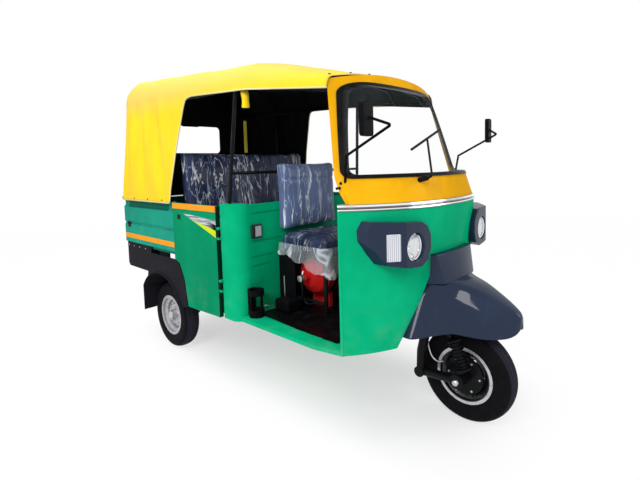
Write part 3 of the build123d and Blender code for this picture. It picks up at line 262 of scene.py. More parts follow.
def merged(mesh, distance):
    """Joins points that coincide, and turns every face outward."""
    work = bmesh.new()
    work.from_mesh(mesh)
    bmesh.ops.remove_doubles(work, verts=work.verts, dist=distance)
    bmesh.ops.recalc_face_normals(work, faces=work.faces)
    work.to_mesh(mesh)
    work.free()
    return mesh


def shade_smooth(mesh, angle=35):
    """Smooth shading that keeps edges sharper than an angle."""
    mesh.polygons.foreach_set("use_smooth", np.ones(len(mesh.polygons), dtype=bool))
    mesh.set_sharp_from_angle(angle=math.radians(angle))


def dress(mesh, finishes):
    """Gives a mesh its finishes, whose names stand in one text."""
    mesh.materials.clear()
    for name in finishes.split():
        mesh.materials.append(bpy.data.materials[name + "_finish"])


def keep(name, mesh, finishes, body, replaces=(), angle=35):
    """Object for a finished mesh, riding on its body."""
    piece = bpy.data.objects.new(name, mesh)
    bpy.context.scene.collection.objects.link(piece)
    dress(mesh, finishes)
    shade_smooth(mesh, angle)
    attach(piece, body)
    if replaces:
        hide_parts(*replaces)
    return piece


def add(name, form, finishes, body, replaces=(), angle=35, join=0.0):
    """New piece from a form."""
    mesh = mesh_from(name, form)
    if join:
        merged(mesh, join)
    return keep(name, mesh, finishes, body, replaces, angle)


def round_edges(piece, width, segments, angle):
    """Bevels the edges of a piece that are sharper than an angle."""
    bevel = piece.modifiers.new("Rounded edges", "BEVEL")
    bevel.width, bevel.segments = width, segments
    bevel.limit_method, bevel.angle_limit = "ANGLE", math.radians(angle)
    return bevel


def refined(node, finish, width, segments=2, angle=28):
    """A CAD node's own form with its edges rounded and its curves shaded smooth; it stands for the node."""
    mesh = frame["nodes"][node].data.copy()
    work = bmesh.new()
    work.from_mesh(mesh)
    bmesh.ops.remove_doubles(work, verts=work.verts, dist=2 * WELD)
    bmesh.ops.dissolve_limit(work, angle_limit=math.radians(0.6), verts=work.verts, edges=work.edges)
    work.to_mesh(mesh)
    work.free()
    piece = keep(node + "_finished", mesh, finish, BODY_OF[node], (node,), angle)
    round_edges(piece, width, segments, angle).harden_normals = True


# --- Finishes ---
def tint(text):
    """Linear colour of a web colour such as #00AA6E."""
    parts = [int(text[i:i + 2], 16) / 255 for i in (1, 3, 5)]
    return [c / 12.92 if c <= 0.04045 else ((c + 0.055) / 1.055) ** 2.4 for c in parts]


class Shade:
    """A number's socket; arithmetic on it adds Math nodes."""

    def __init__(self, finish, socket):
        self.finish, self.socket = finish, socket

    def math(self, operation, *values):
        """A Math node on some values."""
        return self.finish.node("ShaderNodeMath", {"operation": operation}, dict(enumerate(values)))

    def __add__(self, other): return self.math("ADD", self, other)
    def __radd__(self, other): return self.math("ADD", other, self)
    def __sub__(self, other): return self.math("SUBTRACT", self, other)
    def __rsub__(self, other): return self.math("SUBTRACT", other, self)
    def __mul__(self, other): return self.math("MULTIPLY", self, other)
    def __rmul__(self, other): return self.math("MULTIPLY", other, self)
    def __truediv__(self, other): return self.math("DIVIDE", self, other)
    def __pow__(self, other): return self.math("POWER", self, other)
    def __abs__(self): return self.math("ABSOLUTE", self)

    def sine(self):
        """Sine of the value."""
        return self.math("SINE", self)

    def most(self, other):
        """The larger of two values."""
        return self.math("MAXIMUM", self, other)

    def below(self, other):
        """1 where the value is less than another, else 0."""
        return self.math("LESS_THAN", self, other)

    def above(self, other):
        """1 where the value is more than another, else 0."""
        return self.math("GREATER_THAN", self, other)

    def step(self, low, high):
        """0 below low, 1 above high, smooth between."""
        values = {"Value": self, "From Min": low, "From Max": high}
        return self.finish.node("ShaderNodeMapRange", {"interpolation_type": "SMOOTHSTEP"}, values)

    def band(self, low, high, soft=0.001):
        """1 between two values."""
        return self.step(low - soft, low + soft) * (1 - self.step(high - soft, high + soft))


class Finish:
    """A material under way: a Principled shader on the piece's own coordinates."""

    def __init__(self, name, **constants):
        self.material = bpy.data.materials.new(name + "_finish")
        self.material.use_nodes = True
        self.tree = self.material.node_tree
        self.tree.nodes.clear()
        output = self.tree.nodes.new("ShaderNodeOutputMaterial")
        self.shader = self.tree.nodes.new("ShaderNodeBsdfPrincipled")
        self.tree.links.new(self.shader.outputs[0], output.inputs[0])
        for key, value in constants.items():
            self.shader.inputs[key.replace("_", " ").title().replace("Ior", "IOR")].default_value = value
        self.place = self.node("ShaderNodeTexCoord", {}, {}, "Object")
        self.x, self.y, self.z = (self.node("ShaderNodeSeparateXYZ", {}, {0: self.place}, a) for a in "XYZ")

    def node(self, kind, settings, values, output=0):
        """Adds a node: its type, its settings, then the values or links of its sockets."""
        node = self.tree.nodes.new(kind)
        for key, value in settings.items():
            setattr(node, key, value)
        for key, value in values.items():
            if isinstance(value, Shade):
                self.tree.links.new(value.socket, node.inputs[key])
            else:
                node.inputs[key].default_value = value
        return Shade(self, node.outputs[output])

    def stretched(self, scale):
        """The place, with each axis scaled where a scale is given."""
        if not scale:
            return self.place
        return self.node("ShaderNodeMapping", {}, {"Vector": self.place, "Scale": scale})

    def noise(self, scale, detail=2.0, rough=0.5, stretch=None, distortion=0.0):
        """Cloudy noise from 0 to 1."""
        values = {"Vector": self.stretched(stretch), "Scale": scale, "Detail": detail, "Roughness": rough,
                  "Distortion": distortion}
        return self.node("ShaderNodeTexNoise", {}, values)

    def cells(self, scale, feature="F1"):
        """Distance field of scattered cells."""
        values = {"Vector": self.place, "Scale": scale}
        return self.node("ShaderNodeTexVoronoi", {"feature": feature}, values, "Distance")

    def from_axle(self, axle_x):
        """Distance from the axle of a wheel."""
        across, height = self.x - axle_x, self.z - TYRE_R
        return (across * across + height * height) ** 0.5

    def mix(self, factor, first, second):
        """Colour between two colours."""
        colours = [c if isinstance(c, Shade) else (*c[:3], 1.0) for c in (first, second)]
        return self.node("ShaderNodeMix", {"data_type": "RGBA"}, {0: factor, 6: colours[0], 7: colours[1]}, 2)

    def put(self, socket, value):
        """Sets or links a socket of the shader."""
        if isinstance(value, Shade):
            self.tree.links.new(value.socket, self.shader.inputs[socket])
        elif socket == "Base Color":
            self.shader.inputs[socket].default_value = (*value[:3], 1.0)
        else:
            self.shader.inputs[socket].default_value = value

    def relief(self, height, distance):
        """Bump from a height in the range 0 to 1."""
        values = {"Strength": 1.0, "Distance": distance, "Height": height}
        self.put("Normal", self.node("ShaderNodeBump", {}, values))


# Heights and places that the paint's patterns keep to.
DUST_Z = (0.38, 0.72)
BED_STRIPE_Z, BED_FOOT_Z = (0.767, 0.803), (0.874, 0.886)
# Where the bed's recess under the hood is painted with shade.
BED_RECESS_X, BED_RECESS_Z = (-1.33, -0.675), (1.012, 1.058)
DOOR_TOP_Z = 1.038
FLASH_X, FLASH_Z, FLASH_DROP, FLASH_SPLIT, FLASH_RISE = (-0.452, -0.068), 1.014, 0.127, 0.066, 0.025
LIME_DROP, BLACK_RISE = 0.018, 0.016
# Where the painted shade of the door's hinge gap begins.
HINGE_X = -0.066
# Heights on the chrome strip of its painted dark reflection lines and of its band of painted reflections.
CHROME_GROOVE_Z, CHROME_EDGE_Z, CHROME_UPPER_Z = (1.0985, 1.1085), (1.0890, 1.0945), (1.108, 1.1165)
RIM_RING_R = 0.1285
TREAD_R, SIDE_RINGS_R = (0.222, 0.232), (0.166, 0.178)
# Soil near the hem; above ROOF_SHADE_Z the canvas is painted darker and less saturated, a painted shade against the
# roof's stronger light.
HEM_SOIL_Z, ROOF_SHADE_Z, ROOF_SHADE_COLOUR = (1.05, 1.25), (1.66, 1.86), (0.80, 0.58, 0.105)
AMBER_Z, CLEAR_Z = 0.659, 0.611
MARKER_Y, MARKER_Z = (-0.506, -0.464), (0.897, 0.957)
# Half the soft edge of a painted line, and how tight each regular pattern is, in radians a metre.
EDGE = 0.0005
THREADS, TYRE_RINGS, SIGNAL_FLUTES, MARKER_RIBS, ENGINE_FINS = 2600.0, 1400.0, 900.0, 1500.0, 420.0


def gloss_paint(name, colour, shift=0.0):
    """Baked gloss enamel: faint orange peel, slow change of tone, road dust low down.

    The finish keeps its colour as base, so that a pattern can be laid over it.
    """
    finish = Finish(name, coat_weight=0.05, coat_roughness=0.04, specular_ior_level=0.0)
    tone = finish.noise(1.7, 3.0) * 0.9 + finish.noise(14.0, 2.0) * 0.25
    dark = [c * 0.84 for c in colour]
    light = [min(1.0, c * 1.16 + 0.004) for c in colour]
    base = finish.mix(tone.step(0.35, 0.95), dark, light)
    low_down = 1 - finish.z.step(DUST_Z[0] + shift, DUST_Z[1] + shift)
    dust = finish.noise(9.0, 6.0, 0.6).step(0.45, 0.8) * low_down * 0.16
    finish.base = finish.mix(dust, base, tint("#9A8F7C"))
    finish.put("Base Color", finish.base)
    finish.put("Roughness", 0.26 + finish.noise(36.0, 3.0) * 0.08 + dust * 1.5)
    finish.relief(finish.noise(420.0, 2.0), 0.00018)
    return finish


def moulded_plastic(name, colour, grain=0.00025, rough=0.46, shine=0.03, gloss=0.0):
    """Moulded plastic with a fine pebbled grain and rubbed, paler high spots."""
    finish = Finish(name, specular_ior_level=shine, coat_weight=gloss, coat_roughness=0.07)
    worn = finish.noise(6.0, 5.0, 0.62).step(0.5, 0.85)
    finish.put("Base Color", finish.mix(worn, colour, [c * 1.25 + 0.002 for c in colour]))
    finish.put("Roughness", rough + finish.noise(22.0, 3.0) * 0.12)
    finish.relief(finish.cells(620.0) * 0.7 + finish.noise(900.0, 1.0) * 0.3, grain)


def black_steel(colour):
    """Black painted tube and plate with dust on it and chips that show metal."""
    finish = Finish("black_steel", specular_ior_level=0.05, coat_weight=0.10, coat_roughness=0.12)
    chips = finish.noise(75.0, 6.0, 0.7).step(0.72, 0.76)
    dust = finish.noise(11.0, 5.0, 0.6).step(0.4, 0.85) * 0.35
    base = finish.mix(dust, colour, [c + 0.015 for c in colour])
    finish.put("Base Color", finish.mix(chips, base, tint("#8A8884")))
    finish.put("Metallic", chips)
    finish.put("Roughness", 0.38 + dust * 0.5)
    finish.relief(finish.noise(260.0, 3.0) - chips * 0.6, 0.0003)


def bare_metal(name, colour, rough):
    """Silvered or bare metal with a fine grain and dull patches."""
    finish = Finish(name, metallic=1.0)
    dull = finish.noise(24.0, 5.0, 0.6).step(0.4, 0.8)
    finish.put("Base Color", finish.mix(dull * 0.5, colour, [c * 0.6 for c in colour]))
    finish.put("Roughness", rough + dull * 0.22)
    finish.relief(finish.noise(500.0, 2.0), 0.0001)


def chrome_trim():
    """Bright strip whose colour holds painted reflections: its tone drifts along its length, brown and grey between
    white, over a dark lower line, and a dark line runs along its top.
    """
    finish = Finish("chrome_trim", metallic=1.0)
    # Painted reflections: the colour drifts to grey along the strip, and dark lines run along its groove, top and lower
    # edge.
    reflection_drift = finish.noise(1.0, 3.0, 0.55, (2.6, 2.6, 9.0)).step(0.42, 0.62)
    bands = finish.z.band(*CHROME_GROOVE_Z, 0.0012)
    edge = finish.z.band(*CHROME_EDGE_Z, 0.0006)
    crown = finish.z.step(1.1165, 1.1180)
    upper = finish.z.band(*CHROME_UPPER_Z, 0.001) * reflection_drift * 0.75
    base = finish.mix(upper, tint("#F4F5F7"), tint("#8A8C90"))
    base = finish.mix(bands * 0.85, base, tint("#4B453D"))
    base = finish.mix(crown * 0.8, base, tint("#4A4C50"))
    finish.put("Base Color", finish.mix(edge * 0.8, base, tint("#3E4648")))
    finish.put("Roughness", 0.08 + reflection_drift * 0.10)
    finish.relief(finish.noise(3.0, 3.0, 0.5, (1.0, 1.0, 30.0)), 0.0006)


def silver_paint():
    """Silver wheel paint with brake dust gathered round the middle of the wheel."""
    finish = Finish("silver_wheel_paint", metallic=0.55, coat_weight=0.2)
    dust = finish.noise(40.0, 5.0, 0.65).step(0.35, 0.9)
    finish.put("Base Color", finish.mix(dust * 0.6, tint("#B4B2B8"), tint("#5E585C")))
    finish.put("Roughness", 0.34 + dust * 0.2)
    finish.relief(finish.noise(300.0, 3.0), 0.0002)


def front_rim_paint():
    """Black spider inside a silver outer ring, told apart by the distance from the axle."""
    finish = Finish("front_rim_paint", coat_weight=0.2)
    ring = finish.from_axle(FRONT_AXLE_X).step(RIM_RING_R, RIM_RING_R + EDGE)
    blotches = finish.noise(50.0, 5.0).step(0.4, 0.85)
    dark = finish.mix(blotches * 0.4, tint("#0B0B0E"), tint("#26252A"))
    silver = finish.mix(blotches * 0.45, tint("#C4C3C9"), tint("#77747A"))
    finish.put("Base Color", finish.mix(ring, dark, silver))
    finish.put("Metallic", ring * 0.7)
    finish.put("Roughness", 0.36 + blotches * 0.15)


def bed_paint(colours):
    """Teal bed paint with the orange stripe, a patchy darker band along the foot of the groove, and painted shade in
    the recess under the hood.
    """
    finish = gloss_paint("bed_paint", colours.teal, 0.3)
    x, z, out = finish.x, finish.z, abs(finish.y)
    stripe = z.band(*BED_STRIPE_Z) * out.step(0.606, 0.609)
    # Darker in patches along the foot of the groove.
    blotches = finish.noise(30.0, 4.0).step(0.35, 0.8) * z.band(*BED_FOOT_Z, 0.004) * 0.5
    # Painted shade: the recessed panel under the hood's hem is painted dark teal.
    recess_shadow = z.band(*BED_RECESS_Z, 0.003) * out.step(0.59, 0.60) * x.band(*BED_RECESS_X, 0.004)
    base = finish.mix(stripe, finish.base, colours.stripe)
    base = finish.mix(recess_shadow * 0.85, base, tint("#0E5A48"))
    finish.put("Base Color", finish.mix(blotches, base, tint("#14352D")))


def door_paint(colours):
    """Green door, a darker copy of the cab green as painted shade: orange top strip, painted shade over the hinge
    strip, and a silver, black and lime flash on its outer skin, with painted reflections streaked into its silver.

    The flash is a long triangle. It starts as a point at the rear and widens forward, downward from a line that
    drops gently.
    """
    # Painted shade: the door's colour is the cab green darkened to 0.66.
    finish = gloss_paint("door_paint", [c * 0.66 for c in colours.green])
    x, z = finish.x, finish.z
    outside = abs(finish.y).step(0.6340, 0.6345)
    top = z.step(DOOR_TOP_Z - EDGE, DOOR_TOP_Z + EDGE) * outside
    along = (x - FLASH_X[0]) / (FLASH_X[1] - FLASH_X[0])
    split = FLASH_Z - along * FLASH_SPLIT
    flash = z.below(FLASH_Z - along * FLASH_RISE) * z.above(FLASH_Z - along * FLASH_DROP)
    flash = flash * (x.band(*FLASH_X, 0.0004) * outside)
    lime = z.below(split) * flash * z.below(split - LIME_DROP)
    # Painted reflections: the silver of the flash is streaked light and dark grey.
    glint_streak = finish.noise(3.0, 2.0, stretch=(2, 1, 40)).step(0.35, 0.65)
    silver = finish.mix(glint_streak, tint("#C9CED2"), tint("#6E757C"))
    black = x.step(-0.20, -0.08) * z.below(split + BLACK_RISE)
    base = finish.mix(top, finish.base, colours.stripe)
    base = finish.mix(flash, base, finish.mix(black, silver, tint("#101214")))
    base = finish.mix(lime, base, tint("#C9DC1E"))
    # Painted shade: the door's front edge over the hinges is painted near-black for the shaded gap.
    gap_shade = x.step(HINGE_X - EDGE, HINGE_X + EDGE)
    finish.put("Base Color", finish.mix(gap_shade * 0.92, base, tint("#0A1A14")))


def woven_canvas(name, colour, shade, rough=0.62, roof_shade=0.0):
    """Coated canvas: a fine plain weave, faded patches, painted shade on the roof that offsets its stronger light, and
    soiling along the hem.
    """
    finish = Finish(name, sheen_weight=0.04, sheen_roughness=0.5, specular_ior_level=0.12)
    thread = (finish.x * THREADS).sine() * ((finish.y + finish.z) * THREADS).sine()
    faded = finish.noise(2.6, 5.0, 0.6).step(0.3, 0.8)
    soil = finish.noise(7.0, 6.0, 0.65).step(0.5, 0.8) * (1 - finish.z.step(*HEM_SOIL_Z)) * 0.30
    base = finish.mix(faded, shade, colour)
    # Painted shade: the roof's colour is darkened to offset the stronger light that falls on it.
    base = finish.mix(finish.z.step(*ROOF_SHADE_Z) * roof_shade, base, ROOF_SHADE_COLOUR)
    finish.put("Base Color", finish.mix(soil, base, tint("#A48B3E")))
    finish.put("Roughness", rough + faded * 0.1)
    finish.relief(thread * 0.35 + finish.noise(60.0, 4.0) * 0.65, 0.0006)


def rubber(name, colour, rough):
    """Black rubber, slightly bloomed, with a soft shine."""
    finish = Finish(name, specular_ior_level=0.03, coat_weight=0.12, coat_roughness=0.10)
    bloom = finish.noise(18.0, 6.0, 0.65).step(0.4, 0.85)
    finish.put("Base Color", finish.mix(bloom * 0.6, colour, [c + 0.012 for c in colour]))
    finish.put("Roughness", rough + bloom * 0.15)
    finish.relief(finish.noise(700.0, 2.0), 0.0002)


def tyre_rubber(name, axle_x):
    """Tyre rubber: dust, the tread paler all round, and moulded rings on the sidewall at fixed distances from the axle.
    """
    finish = Finish(name, specular_ior_level=0.05)
    radius = finish.from_axle(axle_x)
    dust = finish.noise(16.0, 6.0, 0.65).step(0.38, 0.85)
    base = finish.mix(dust * 0.3, tint("#0D0D10"), tint("#2A2830"))
    finish.put("Base Color", finish.mix(radius.step(*TREAD_R) * 0.3, base, tint("#4A4758")))
    finish.put("Roughness", 0.66 + dust * 0.12)
    rings = (radius * TYRE_RINGS).sine() * radius.band(*SIDE_RINGS_R, 0.001)
    finish.relief(rings * 0.4 + finish.noise(500.0, 3.0) * 0.3, 0.0006)


def seat_vinyl(name, colour, film, slant):
    """Grained vinyl under loose clear film: painted highlights where the film creases and a painted sheen in hazy
    patches lie over the colour.
    """
    finish = Finish(name, specular_ior_level=0.10, coat_weight=0.16, coat_roughness=0.10)
    base = finish.mix(finish.noise(5.0, 4.0).step(0.3, 0.8), colour, [c * 1.30 + 0.004 for c in colour])
    crease = finish.noise(5.5, 3.5, 0.62, (1.0, 1.0, slant), 1.6)
    glint_streak = 1 - abs(crease - 0.5).step(0.0, 0.024)
    fine_glint = 1 - abs(finish.noise(11.0, 3.0, 0.6, (1.0, 1.0, slant * 0.5), 1.2) - 0.48).step(0.0, 0.018)
    gathers = finish.noise(3.1, 3.0).step(0.36, 0.54)
    film_sheen = finish.noise(3.4, 4.0, 0.6, (1.0, 1.0, slant)).step(0.42, 0.8)
    # Painted light: a pale sheen in patches, and pale and white glints along the film's creases.
    base = finish.mix(film_sheen * film * 0.3, base, tint("#7286BA"))
    base = finish.mix(fine_glint * gathers * film * 0.7, base, tint("#B9C6E4"))
    finish.put("Base Color", finish.mix(glint_streak * gathers * film, base, tint("#EEF1F7")))
    finish.put("Roughness", 0.30 + finish.noise(40.0, 3.0) * 0.10 - glint_streak * 0.08)
    finish.relief(crease * 0.8 + finish.cells(420.0, "DISTANCE_TO_EDGE").step(0.0, 0.25) * 0.03, 0.012)


def clear_film():
    """Loose clear film: nearly invisible, with pale, more opaque streaks where it creases, painted highlights for their
    glints.
    """
    finish = Finish("clear_film", roughness=0.10, specular_ior_level=0.4)
    finish.put("Base Color", tint("#DDE3EE"))
    crease = finish.noise(7.0, 2.0, 0.5, (1.0, 1.0, 0.35), 0.6)
    glint_streak = 1 - abs(crease - 0.5).step(0.0, 0.018)
    # Painted highlight: the crease streaks are made more opaque and pale.
    finish.put("Alpha", 0.16 + glint_streak * 0.42 + finish.noise(4.0, 2.0).step(0.4, 0.7) * 0.14)
    finish.relief(crease, 0.001)


def glass(name, colour, rough, alpha, shine=0.5):
    """Thin clear glass that lets the far side show."""
    finish = Finish(name, roughness=rough, specular_ior_level=shine)
    smear = finish.noise(5.0, 5.0, 0.6).step(0.4, 0.9)
    finish.put("Base Color", finish.mix(smear * 0.4, colour, [min(1, c * 1.1) for c in colour]))
    finish.put("Alpha", alpha + smear * 0.02)


def fluted_lens(name, colour):
    """Clear moulded lens over a bright back, with upright flutes, each painted light and dark across as painted shade.
    """
    finish = Finish(name, roughness=0.12, specular_ior_level=0.7, coat_weight=0.8, coat_roughness=0.03)
    flutes = (finish.y * SIGNAL_FLUTES).sine()
    # Painted shade: the colour darkens to 0.55 in each flute's trough.
    finish.put("Base Color", finish.mix(flutes.step(-1.0, 1.0), [c * 0.55 for c in colour], colour))
    finish.put("Metallic", 0.35)
    finish.relief(flutes * 0.5 + 0.5, 0.0015)


def tail_lens():
    """Rear lamp in red, amber and clear bands, and the pale square of the front marker in its dark holder."""
    finish = Finish("marker_lens", roughness=0.1, coat_weight=0.8)
    rear = 1 - finish.x.step(-1.3, -1.2)
    amber = finish.z.step(AMBER_Z - EDGE, AMBER_Z + EDGE)
    clear = 1 - finish.z.step(CLEAR_Z - EDGE, CLEAR_Z + EDGE)
    colour = finish.mix(amber, tint("#B0101A"), tint("#E07A10"))
    colour = finish.mix(clear, colour, tint("#D9DDE2"))
    square = finish.y.band(*MARKER_Y) * finish.z.band(*MARKER_Z)
    weave = finish.cells(130.0).step(0.1, 0.6)
    holder = finish.mix(square, tint("#0B1210"), finish.mix(weave * 0.5, tint("#C9CCD4"), tint("#8E939E")))
    finish.put("Base Color", finish.mix(rear, holder, colour))
    finish.relief((finish.z * MARKER_RIBS).sine() * 0.5 + 0.5, 0.001)


def engine_metal():
    """Cast and oily metal of the engine's mass."""
    finish = Finish("engine_metal", metallic=0.5)
    oil = finish.noise(8.0, 6.0, 0.65).step(0.4, 0.8)
    finish.put("Base Color", finish.mix(oil, tint("#6A6965"), tint("#26231F")))
    finish.put("Roughness", 0.62 - oil * 0.2)
    finish.relief(finish.noise(180.0, 4.0) + (finish.x * ENGINE_FINS).sine().step(0.2, 0.8) * 0.8, 0.002)


def make_finishes(colours):
    """Every finish of the vehicle, made once; a piece finds its own by name."""
    gloss_paint("green_enamel", colours.green)
    gloss_paint("yellow_enamel", colours.yellow, -1.0)
    gloss_paint("red_enamel", colours.red, -1.0)
    bed_paint(colours)
    door_paint(colours)
    moulded_plastic("slate_plastic", colours.slate, 0.00005, 0.30, 0.02, 0.42)
    moulded_plastic("black_plastic", tint("#0D0E11"))
    moulded_plastic("arch_plastic", tint("#1C1C22"), 0.0004, 0.5)
    black_steel(tint("#0D0E11"))
    for name, colour, rough in (("zinc_plate", "#C7C8C6", 0.36), ("bright_metal", "#EDEEF0", 0.07),
                                ("mirror_face", "#F2F4F6", 0.02)):
        bare_metal(name, tint(colour), rough)
    chrome_trim()
    silver_paint()
    front_rim_paint()
    rubber("black_rubber", tint("#08080A"), 0.3)
    woven_canvas("yellow_canvas", colours.canvas, colours.canvas_shade, 0.62, 1.0)
    woven_canvas("black_lining", tint("#0C0D10"), tint("#1B1C20"), 0.8)
    woven_canvas("pale_hem", tint("#E9E2C6"), tint("#CFC491"))
    # Painted shade: the strap's olive is the yellow canvas as it looks in shade.
    woven_canvas("shaded_strap", tint("#8F8428"), tint("#6E661E"))
    seat_vinyl("seat_vinyl", colours.vinyl, 0.70, 0.30)
    seat_vinyl("driver_vinyl", colours.driver_vinyl, 1.0, 0.24)
    clear_film()
    glass("windscreen_glass", tint("#B9CCCB"), 0.02, 0.012, 0.12)
    glass("lamp_glass", tint("#EAF0F4"), 0.03, 0.16)
    fluted_lens("signal_lens", tint("#E6E8F4"))
    tail_lens()
    engine_metal()
    tyre_rubber("front_tyre_rubber", FRONT_AXLE_X)
    tyre_rubber("rear_tyre_rubber", REAR_AXLE_X)


# --- Canvas hood ---
HEM_Z = 1.070
# Rows of the hood at each of four places along it: half widths of hem and eave, eave height, shoulder half width and
# height, and the crown's height.
HOOD_X = np.array([TAIL_X, TAIL_X + 0.130, 0.180, 0.716])
HOOD_SIZES = np.array([
    [0.644, 0.574, 1.800, 0.450, 1.950, 1.978],
    [0.643, 0.573, 1.798, 0.455, 1.996, 2.026],
    [0.636, 0.568, 1.742, 0.455, 1.876, 1.914],
    [0.560, 0.500, 1.664, 0.440, 1.726, 1.770],
])
HOOD_EDGE = np.array([
    (-1.421, HEM_Z), (-0.610, HEM_Z), (-0.606, 1.159), (-0.553, 1.424), (-0.478, 1.700), (-0.462, 1.738),
    (-0.430, 1.752), (-0.380, 1.756), (0.180, 1.720), (0.7155, 1.661),
])
BOWS_X = np.array([TAIL_X, -1.366, -0.880, -0.455, 0.174, 0.430, 0.660, 0.760])
# The rear window: middle height, half width, half height and corner radius.
WINDOW = (1.560, 0.305, 0.125, 0.040)
FOLD_X, FOLD_LENGTH, FOLD_Z, FOLD_DROP = -1.42, 0.81, 1.80, 0.73
# Radius of the turn at the tail, the share of it at which the first column lies (1 - cos 45), and the step along
# the lower edge.
TAIL_TURN, FIRST_COLUMN, HOOD_STEP = 0.055, 0.293, 0.020
# Length of a bay between bows that sinks by the whole sag, the back's ripple and how near a point snaps to the window.
USUAL_BAY, RIPPLE, SNAP_REACH = 0.56, 0.0025, 0.0085
CAB_MIDDLE = (0, 0, 1.4)
STUD_OVER_HEM = 0.016


def through(a, b, c, count):
    """Curve from a over b to c: the parabola whose middle is b."""
    t = np.linspace(0, 1, count)[:, None, None]
    bend = 2 * b - (a + c) / 2
    return (1 - t) ** 2 * a + 2 * t * (1 - t) * bend + t ** 2 * c


def hood_roof(x, arc=14, crown=54):
    """Roof line (y, z) at each x, from the right eave over the crown to the left eave."""
    eave, eave_z, shoulder, shoulder_z, top = (np.interp(x, HOOD_X, column) for column in HOOD_SIZES.T[1:])

    def line(y, z):
        return np.stack([y, z + 0 * y], -1)[None]

    low, high, middle = line(eave, eave_z), line(shoulder, shoulder_z), line(0 * x, top)
    bulge = line(shoulder + (eave - shoulder) * 0.74, eave_z + (shoulder_z - eave_z) * 0.70)
    side = through(low, bulge, high, arc)[:-1]
    over = through(high, middle, high * (-1, 1), crown)
    return np.concatenate([side, over, (side * (-1, 1))[::-1]])[::-1]


def hood_walls(x, low, rows=46):
    """Wall line (y, z) of the left side at each x, from its lower edge up to the eave: a straight leaning line."""
    hem, eave, eave_z = (np.interp(x, HOOD_X, column) for column in HOOD_SIZES.T[:3])
    t = np.linspace(0, 1, rows, endpoint=False)[:, None]
    z = low + (eave_z - low) * t
    return np.stack([hem + (eave - hem) * (z - HEM_Z) / (eave_z - HEM_Z), z], -1)


def fold_depth(x, z, side):
    """Depth of the folds in the rear quarters: soft ridges that fan out downward and die at the eave.

    With u along the wall and d down it, both 0 to 1, a ridge is a sine of u (1.28 - 0.42 d), and a finer one
    at 0.45 of its height lies over it.
    """
    along = (x - FOLD_X) / FOLD_LENGTH
    down = np.clip((FOLD_Z - z) / FOLD_DROP, 0, 1)
    fan = along * (1.28 - 0.42 * down) + 0.10 * side
    ridges = np.sin(2 * np.pi * (fan * 2.7 - 0.34 * down)) + 0.45 * np.sin(2 * np.pi * (fan * 6.1 + 0.5 * down + 0.2))
    held = np.sin(np.pi * np.clip(down * 0.93 + 0.03, 0, 1)) ** 0.6
    free = ease(along, -0.02, 0.10) * (1 - ease(along, 0.86, 1.0))
    return ridges * held * free


def window_distance(y, z):
    """Signed distance to the rear window's rounded outline, and the outward direction."""
    middle, half_y, half_z, radius = WINDOW
    py, pz = np.abs(y), z - middle
    q = np.stack([py - (half_y - radius), np.abs(pz) - (half_z - radius)], -1)
    away = np.maximum(q, 0)
    distance = np.linalg.norm(away, axis=-1) + np.minimum(q.max(-1), 0) - radius
    corner = np.linalg.norm(away, axis=-1, keepdims=True)
    flat = np.where(q[..., :1] > q[..., 1:], (1.0, 0.0), (0.0, 1.0))
    out = np.where(corner > 1e-9, away / np.maximum(corner, 1e-9), flat)
    return distance, out * np.stack([np.sign(y), np.sign(pz)], -1)


def hood_sides(fold, sag, turn):
    """The hood's two walls and roof, as a grid whose columns follow the lower edge at even steps.

    Rows run from the right hem over the roof to the left hem. A point d from the tail has moved in by
    r - sqrt(r^2 - (r - d)^2), the folds stand out by their depth, and the roof sinks by s sin^2 between bows.
    """
    low = evenly(HOOD_EDGE, HOOD_STEP)
    x, z_low = low[:, 0], low[:, 1]
    x = np.maximum(x, TAIL_X + FIRST_COLUMN * turn)
    left = hood_walls(x, z_low)
    section = np.concatenate([left * (-1, 1), hood_roof(x), left[::-1]])
    grown = np.gradient(section, axis=0)
    inward = unit(np.stack([-grown[..., 1], grown[..., 0]], -1))
    inward *= np.sign((inward * ((0, 1.5) - section)).sum(-1, keepdims=True))
    near = np.clip(turn - (x - TAIL_X), 0, turn)
    pull = turn - np.sqrt(turn ** 2 - near ** 2)
    section = section + inward * pull[None, :, None]
    y, z = section[..., 0], section[..., 1]
    folded = fold * fold_depth(x[None], z, np.sign(y)) * (z < FOLD_Z + 0.01)
    bay = np.clip(np.searchsorted(BOWS_X, x, side="right") - 1, 0, len(BOWS_X) - 2)
    length = BOWS_X[bay + 1] - BOWS_X[bay]
    part = (x - BOWS_X[bay]) / length
    top = ease(z - np.interp(x, HOOD_X, HOOD_SIZES[:, 2])[None], 0.01, 0.09)
    sunk = sag * np.sin(np.pi * part)[None] ** 2 * (length / USUAL_BAY)[None] * top
    section = section + inward * (sunk - folded)[..., None]
    return np.concatenate([np.broadcast_to(x, y.shape)[..., None], section], -1), left.shape[0], z_low[0]


